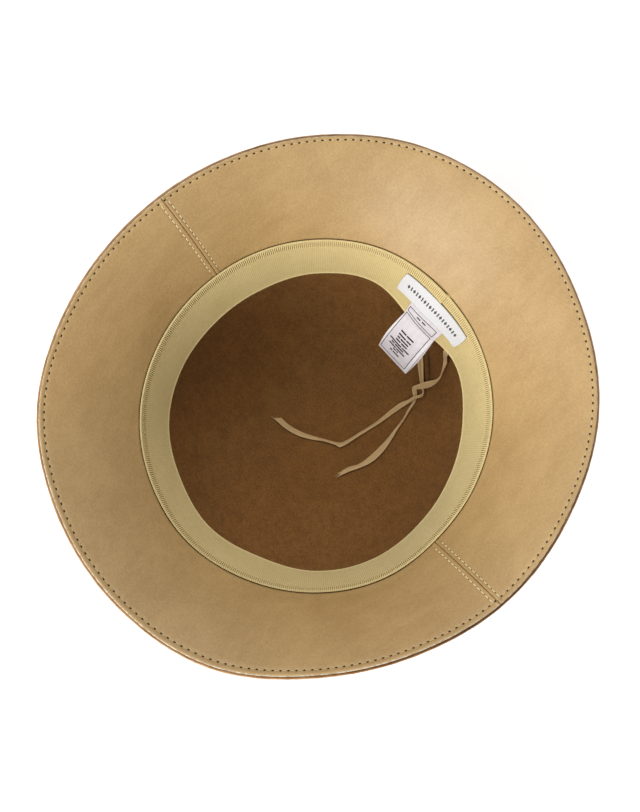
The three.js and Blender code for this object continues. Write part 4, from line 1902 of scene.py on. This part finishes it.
@dataclass
class Sweatband:
    """The woven ribbon round the head opening, with a rolled edge, a ribbed band and a selvedge."""

    shape: HatShape
    steps_around: int = 384
    rib_count: int = 540
    rib_start: float = 0.0004
    rib_end: float = 0.0064
    rib_bed: float = 0.00015
    selvedge_count: int = 760
    selvedge: float = 0.0013
    selvedge_rise: float = 0.00012
    roll: float = 0.0007
    roll_rise: float = 0.00016
    edge_rounding: float = 0.0003
    join_angle: float = math.radians(87.0)
    join_height: float = 0.0008
    join_step: float = 0.0003
    join_length: float = 0.012
    lap_depth: float = 0.0007
    middle_radius: float = 0.090
    waves: float = 0.00015
    wave_size: float = 0.017

    def profile(self) -> tuple[np.ndarray, np.ndarray, np.ndarray, np.ndarray]:
        """Across the ribbon: distance from its rolled edge, how proud its faces stand, and its tone.

        Returns:
            The distances, how proud the front and the back stand there, and the tone.
        """
        width = self.shape.ribbon_width
        rolled = np.linspace(0, 0.0016, 12)
        ribbed = np.linspace(0.0021, 0.0070, 10)
        plain = np.linspace(0.0082, 0.0315, 12)
        free = width - np.array((0.0016, 0.0012, 0.0008, 0.0004, 0.00015, 0.0))
        across = np.concatenate([rolled, ribbed, plain, free])
        roll = self.roll_rise * np.sqrt(np.clip(1 - ((across - self.roll) / self.roll) ** 2, 0, 1))
        # The band under the ribs sits lower, and its tone below 0 paints the shade between the ribs.
        under_ribs = np.clip((across - self.rib_start) / 0.0004, 0, 1)
        under_ribs *= np.clip((self.rib_end - across) / 0.0006, 0, 1)
        selvedge = self.selvedge_rise * bell(across - (width - self.selvedge / 2), 0.0007)
        rounding = self.edge_rounding * bell(across - width, 0.00025)
        front = roll - self.rib_bed * under_ribs + selvedge - rounding
        back = -self.shape.ribbon * (1 - 0.2 * bell(across, 0.0014)) + rounding
        pale = 0.9 * bell(across - width, 0.0011)
        return across, front, back, np.clip(pale, 0, 1) - under_ribs

    def join(self, angle: np.ndarray) -> np.ndarray:
        """Lift of the ribbon's end where it laps over its start, at angles in radians.

        Args:
            angle: angles about the axis.

        Returns:
            The lift at each angle.
        """
        beyond = np.mod(angle - self.join_angle + math.pi, FULL_TURN) - math.pi
        along = beyond * self.middle_radius
        step = np.clip(along / self.join_step, 0, 1)
        return self.join_height * step * np.exp(-np.clip(along, 0, None) / self.join_length)

    def build(self, finishes: Finishes) -> None:
        """Builds the ribbon and its ribs.

        Args:
            finishes: the hat's materials.
        """
        even = np.linspace(0, FULL_TURN, self.steps_around, endpoint=False)
        join = self.join_angle + np.array((-0.010, -0.004, 0.0, 0.0018, 0.0036, 0.008))
        angle = np.sort(np.concatenate([even[np.abs(even - self.join_angle) > 0.014], join]))
        across, front, back, tone = self.profile()
        grid_angle, grid_across = np.meshgrid(angle, across, indexing="ij")
        rough = self.shape.ribbon_point(grid_angle, grid_across, np.zeros(grid_angle.shape))
        sway = self.waves * unevenness(rough, self.wave_size, 3.0) + self.join(angle)[:, None]
        from_join = (grid_angle - self.join_angle) * self.middle_radius
        lap = self.lap_depth * bell(from_join, 0.0009) * bell(grid_across, 0.0012)
        top = self.shape.ribbon_point(grid_angle, grid_across, front + sway)
        under = self.shape.ribbon_point(grid_angle, grid_across, back + sway * 0.3 - lap)
        builder = MeshBuilder()
        builder.wall(top, under, closed=True, tone=tone[None, :])
        piece = builder.build("sweatband_fine", [finishes.sweatband_ribbon], sharp=60)
        dress(piece, Slot.RIBBON, "sweatband")
        self.build_ribs(finishes)

    def rib_line(self, count: int, across: float, proud: float) -> tuple[np.ndarray, np.ndarray]:
        """Evenly spaced points round the ribbon, and the directions off its face.

        Args:
            count: how many points.
            across: their distance from the rolled edge.
            proud: how far they stand off the ribbon's face.

        Returns:
            The points and the directions.
        """
        angle = np.linspace(0, FULL_TURN, count, endpoint=False)
        place = np.full(count, across)
        rough = self.shape.ribbon_point(angle, place, np.zeros(count))
        lift = proud + self.join(angle) + self.waves * unevenness(rough, self.wave_size, 3.0)
        points = self.shape.ribbon_point(angle, place, lift)
        further = self.shape.ribbon_point(angle, place, lift + 0.001)
        return points, (further - points) / 0.001

    def build_ribs(self, finishes: Finishes) -> None:
        """Builds the ribs of the band under the rolled edge, and the fine ones of the selvedge.

        Args:
            finishes: the hat's materials.
        """
        tree = rib_tree()
        middle, length = (self.rib_start + self.rib_end) / 2, self.rib_end - self.rib_start
        free = self.shape.ribbon_width - self.selvedge / 2
        values = {"Thread Thickness": 0.00056, "Rib Rise": 0.00034, "Rib Finish": finishes.ribbon_rib}
        rows = (
            ("sweatband_ribs", self.rib_count, middle, length, 0.00012),
            ("sweatband_selvedge", self.selvedge_count, free, self.selvedge, 0.00005),
        )
        for name, count, across, reach, proud in rows:
            values["Rib Length"] = reach
            guide = guide_line([self.rib_line(count, across, proud)], closed=True)
            dress(tree.apply(guide, name, values), Slot.RIBBON)


# Labels


@dataclass
class WovenLabel:
    """A white woven label sewn on the sweatband at the back, with a plain row of lozenges."""

    shape: HatShape
    start: float = math.radians(72.6)
    end: float = math.radians(103.4)
    upper: float = 0.20
    lower: float = 0.66
    gap: float = 0.00065
    thickness: float = 0.0005
    end_bow: float = 0.028
    end_slant: float = 0.035
    upper_bulge: float = 0.00035
    lower_bulge: float = 0.0002
    fold_rise: float = 0.00022
    edge_rounding: float = 0.0001
    marks: int = 19
    first_mark: float = 0.10
    last_mark: float = 0.88
    lozenge: tuple[float, float] = (0.018, 0.115)
    bar: tuple[float, float] = (0.008, 0.105)
    mark_thickness: float = 0.00006

    def surface(self, u: np.ndarray, v: np.ndarray, proud: float | np.ndarray) -> np.ndarray:
        """A point of the label.

        Args:
            u: 0 at its right end, 1 at its left.
            v: 0 at its upper edge, 1 at its lower.
            proud: how far the point stands off its back.

        Returns:
            Points, x, y and z on the last axis.
        """
        angle = self.start + (self.end - self.start) * u
        across = (self.upper + (self.lower - self.upper) * v) * self.shape.ribbon_width
        lift = self.upper_bulge * bell(v, 0.18) * np.sin(math.pi * np.clip(u, 0, 1))
        lift = lift + self.lower_bulge * bell(v - 1, 0.2)
        return self.shape.ribbon_point(angle, across, self.gap + proud + lift)

    def build(self, finishes: Finishes) -> None:
        """Builds the label and its motif.

        Args:
            finishes: the hat's materials.
        """
        ends = np.array((0.0, 0.004, 0.010, 0.020))
        u = np.concatenate([ends, np.linspace(0.05, 0.95, 37), 1 - ends[::-1]])
        v = np.concatenate([(0.0, 0.01, 0.03), np.linspace(0.08, 0.92, 15), (0.97, 0.99, 1.0)])
        grid_u, grid_v = np.meshgrid(u, v, indexing="ij")
        bowed = 0.5 + (grid_u - 0.5) * (1 + self.end_bow * (1 - (2 * grid_v - 1) ** 2))
        bowed -= self.end_slant * (1 - grid_v) * grid_u
        fold = self.fold_rise * (bell(grid_u - 0.035, 0.03) + bell(grid_u - 0.965, 0.03))
        soft = self.edge_rounding * (bell(grid_u, 0.006) + bell(grid_u - 1, 0.006))
        front = self.surface(bowed, grid_v, self.thickness + fold - soft)
        back = self.surface(bowed, grid_v, soft)
        builder = MeshBuilder()
        builder.wall(front, back)
        piece = builder.build("woven_label_fine", [finishes.label_taffeta], sharp=60)
        dress(piece, Slot.WOVEN_LABEL, "woven_label")
        self.build_marks(finishes)

    def build_marks(self, finishes: Finishes) -> None:
        """Builds a row of lozenges and short bars, woven in dark grey.

        Args:
            finishes: the hat's materials.
        """
        builder = MeshBuilder()
        for number, u in enumerate(np.linspace(self.first_mark, self.last_mark, self.marks)):
            wide, high = self.bar if number % 2 else self.lozenge
            first, last, upper, lower = u - wide, u + wide, 0.5 - high, 0.5 + high
            corners = ((first, 0.5), (u, upper), (last, 0.5), (u, lower))
            if number % 2:
                corners = ((first, upper), (last, upper), (last, lower), (first, lower))
            front, back = patch(self.surface, np.array(corners), self.thickness, self.mark_thickness)
            builder.wall(front, back)
        dress(builder.build("woven_label_marks", [finishes.label_mark]), Slot.WOVEN_LABEL)


class PrintLine(NamedTuple):
    """A printed line: where it starts and ends across the label, and how far down it stands."""

    start: float
    end: float
    down: float


PRINT_LINES = (
    PrintLine(0.768, 0.330, 0.420),
    PrintLine(0.764, 0.345, 0.480),
    PrintLine(0.750, 0.370, 0.530),
    PrintLine(0.742, 0.360, 0.578),
    PrintLine(0.894, 0.230, 0.625),
    PrintLine(0.800, 0.375, 0.668),
    PrintLine(0.836, 0.290, 0.713),
    PrintLine(0.650, 0.477, 0.758),
    PrintLine(0.710, 0.400, 0.810),
)


@dataclass
class CareLabel:
    """A satin strip folded in two, sewn in under the woven label and hanging into the crown."""

    shape: HatShape
    start: float = math.radians(79.2)
    end: float = math.radians(95.8)
    upper: float = 0.663
    on_ribbon: float = 0.25
    right_corner: tuple[float, float, float] = (0.0143, 0.0545, 0.0440)
    left_corner: tuple[float, float, float] = (-0.0071, 0.0554, 0.0440)
    bow: float = 0.0022
    gap: float = 0.00065
    layer: float = 0.00025
    layers_apart: float = 0.0003
    front_bulge: float = 0.030
    back_bulge: float = 0.050
    rows: int = 44
    fold_start: float = 0.985
    fold_length: float = 0.012
    frame_left: float = 0.968
    frame_right: float = 0.106
    frame_top: float = 0.055
    frame_bottom: float = 0.930
    box_left: tuple[float, float] = (0.132, 0.172)
    box_right: tuple[float, float] = (0.187, 0.230)
    frame_line: tuple[float, float] = (0.016, 0.010)
    heading: tuple[tuple[float, float], ...] = ((0.676, 0.558), (0.509, 0.390))
    heading_down: tuple[float, float] = (0.095, 0.099)
    heading_line: float = 0.020
    print_line: float = 0.023
    print_fall: float = 0.012
    print_overlap: float = 0.012
    ink_lift: float = 0.00003
    ink: float = 0.00004

    def column(self, u: np.ndarray, v: np.ndarray, proud: np.ndarray) -> np.ndarray:
        """A point of the front layer's path.

        Args:
            u: 0 at its right edge, 1 at its left.
            v: 0 at its top, 1 at the fold.
            proud: how far the point stands off the path.

        Returns:
            Points, x, y and z on the last axis.
        """
        angle = self.start + (self.end - self.start) * u
        share = np.clip(v / self.on_ribbon, 0, 1)
        across = (self.upper + (1 - self.upper) * share) * self.shape.ribbon_width
        sewn = self.shape.ribbon_point(angle, across, self.gap + proud)
        free_edge = np.full(u.shape, self.shape.ribbon_width)
        edge = self.shape.ribbon_point(angle, free_edge, np.full(u.shape, self.gap))
        right, left = np.array(self.right_corner), np.array(self.left_corner)
        end = right + (left - right) * u[..., None]
        hang = self.hang(v)
        off = np.cross(left - right, end - edge)
        off /= np.linalg.norm(off, axis=-1)[..., None]
        swing = self.bow * np.sin(math.pi * np.clip(hang, 0, 1))
        loose = edge + (end - edge) * hang[..., None] + off * (proud + swing)[..., None]
        return np.where((v < self.on_ribbon)[..., None], sewn, loose)

    def hang(self, v: np.ndarray) -> np.ndarray:
        """How far down its free length a place of the strip is, 0 at the ribbon's edge."""
        return np.clip((v - self.on_ribbon) / (1 - self.on_ribbon), 0, None)

    def surface(self, u: np.ndarray, v: np.ndarray, proud: float) -> np.ndarray:
        """A point of the front face."""
        return self.column(u, v, np.full(u.shape, self.layers_apart + 2 * self.layer + proud))

    def build(self, finishes: Finishes) -> None:
        """Builds the folded strip and its plain printed lines.

        Args:
            finishes: the hat's materials.
        """
        near = np.array((0.0, 0.008, 0.02, 0.035, 0.05, 0.07, 0.095))
        u = np.concatenate([near, np.linspace(0.13, 0.87, 15), 1 - near[::-1]])
        sewn = np.linspace(0, self.on_ribbon, self.rows // 4, endpoint=False)
        down = np.concatenate([sewn, np.linspace(self.on_ribbon, self.fold_start, self.rows - len(sewn))])
        turn = np.linspace(0, math.pi, 9)[1:-1]
        v = np.concatenate([down, self.fold_start + self.fold_length * np.sin(turn), down[::-1]])
        half = (self.layers_apart + self.layer) / 2
        side = np.concatenate([np.ones(self.rows), np.cos(turn), -np.ones(self.rows)])
        height = self.layer / 2 + half * (1 + side)
        bulge = np.sin(math.pi * np.clip(self.hang(v), 0, 1))
        right = np.where(side > 0, 0.0, -self.back_bulge) * bulge
        left = 1 + np.where(side > 0, self.front_bulge, 0.0) * bulge
        grid_v, grid_u = np.meshgrid(v, u, indexing="ij")
        place = right[:, None] + (left - right)[:, None] * grid_u
        middle = self.column(place, grid_v, np.repeat(height[:, None], len(u), axis=1))
        off = np.cross(np.gradient(middle, axis=0), np.gradient(middle, axis=1))
        off /= np.linalg.norm(off, axis=-1)[..., None]
        # Painted light: a painted highlight along both curled edges of the front layer, and painted shadow
        # on the back layer beside the front layer's edge.
        lit = (0.9 * bell(place - 1.02, 0.045) + 0.6 * bell(place - 0.045, 0.035)) * bulge[:, None]
        shaded = 0.9 * bell(place + 0.004, 0.018) * bulge[:, None]
        builder = MeshBuilder()
        tone = np.where(side[:, None] > 0, lit, -shaded)
        builder.wall(middle + off * self.layer / 2, middle - off * self.layer / 2, tone=tone)
        piece = builder.build("care_label_fine", [finishes.label_satin], sharp=70)
        dress(piece, Slot.SATIN, "care_label")
        self.build_print(finishes)

    def add_bar(
        self, builder: MeshBuilder, start: tuple[float, float], end: tuple[float, float], thickness: float
    ) -> None:
        """Adds a printed bar on the front face.

        Args:
            builder: the mesh of the print.
            start: the map point where the bar starts.
            end: the map point where it ends, straight below the start for an upright bar.
            thickness: of the bar, as a share of the label's width or length.
        """
        aside = (-thickness, 0.0) if start[0] == end[0] else (0.0, thickness)
        far = [(u + aside[0], v + aside[1]) for u, v in (end, start)]
        front, back = patch(self.surface, np.array((start, end, *far)), self.ink_lift, self.ink, (30, 14))
        builder.wall(front, back)

    def build_print(self, finishes: Finishes) -> None:
        """Builds the printed frame, its heading box and a block of plain bars.

        Args:
            finishes: the hat's materials.
        """
        builder = MeshBuilder()
        left, right, top, bottom = self.frame_left, self.frame_right, self.frame_top, self.frame_bottom
        thin_u, thin_v = self.frame_line
        for u, (box, frame_top) in ((left, self.box_left), (right, self.box_right)):
            self.add_bar(builder, (u, top), (u, box + thin_v), thin_u)
            self.add_bar(builder, (u, frame_top), (u, bottom), thin_u)
        for at_left, at_right in ((top, top), *zip(self.box_left, self.box_right), (bottom, bottom)):
            self.add_bar(builder, (left, at_left), (right, at_right), thin_v)
        first_v, last_v = self.heading_down
        for start, end in self.heading:
            self.add_bar(builder, (start, first_v), (end, last_v), self.heading_line)
        slope = self.print_fall / (PRINT_LINES[0].end - PRINT_LINES[0].start)
        for number, (start, end, v) in enumerate(PRINT_LINES):
            gap = start + (end - start) * (0.45 + 0.2 * math.sin(2.1 * number))
            middle = (gap - self.print_overlap, v + slope * (gap - start))
            self.add_bar(builder, (start, v), (gap + self.print_overlap, middle[1]), self.print_line)
            self.add_bar(builder, middle, (end, v + slope * (end - start)), self.print_line)
        dress(builder.build("care_label_print", [finishes.label_ink]), Slot.SATIN)


# Assembly


def main() -> None:
    """Builds the studio and the hat, and reports each piece."""
    logging.basicConfig(level=logging.INFO, format="%(name)s: %(message)s")
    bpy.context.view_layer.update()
    studio = Studio()
    studio.make_camera()
    finishes = Finishes.make()
    RibbonTie("tie_right", TIE_RIGHT_ROUTE, TieEnd.FRAYED).build(finishes.tie_ribbon)
    RibbonTie("tie_left", TIE_LEFT_ROUTE, TieEnd.SLANTED, valley=(5.5, 13.0)).build(finishes.tie_ribbon)
    shape = HatShape()
    FeltBody(shape).build(finishes.wool_felt)
    LeatherBrim(shape).build(finishes)
    Sweatband(shape).build(finishes)
    WovenLabel(shape).build(finishes)
    CareLabel(shape).build(finishes)
    studio.make_lights()
    studio.make_floor()


if __name__ == "__main__":
    main()
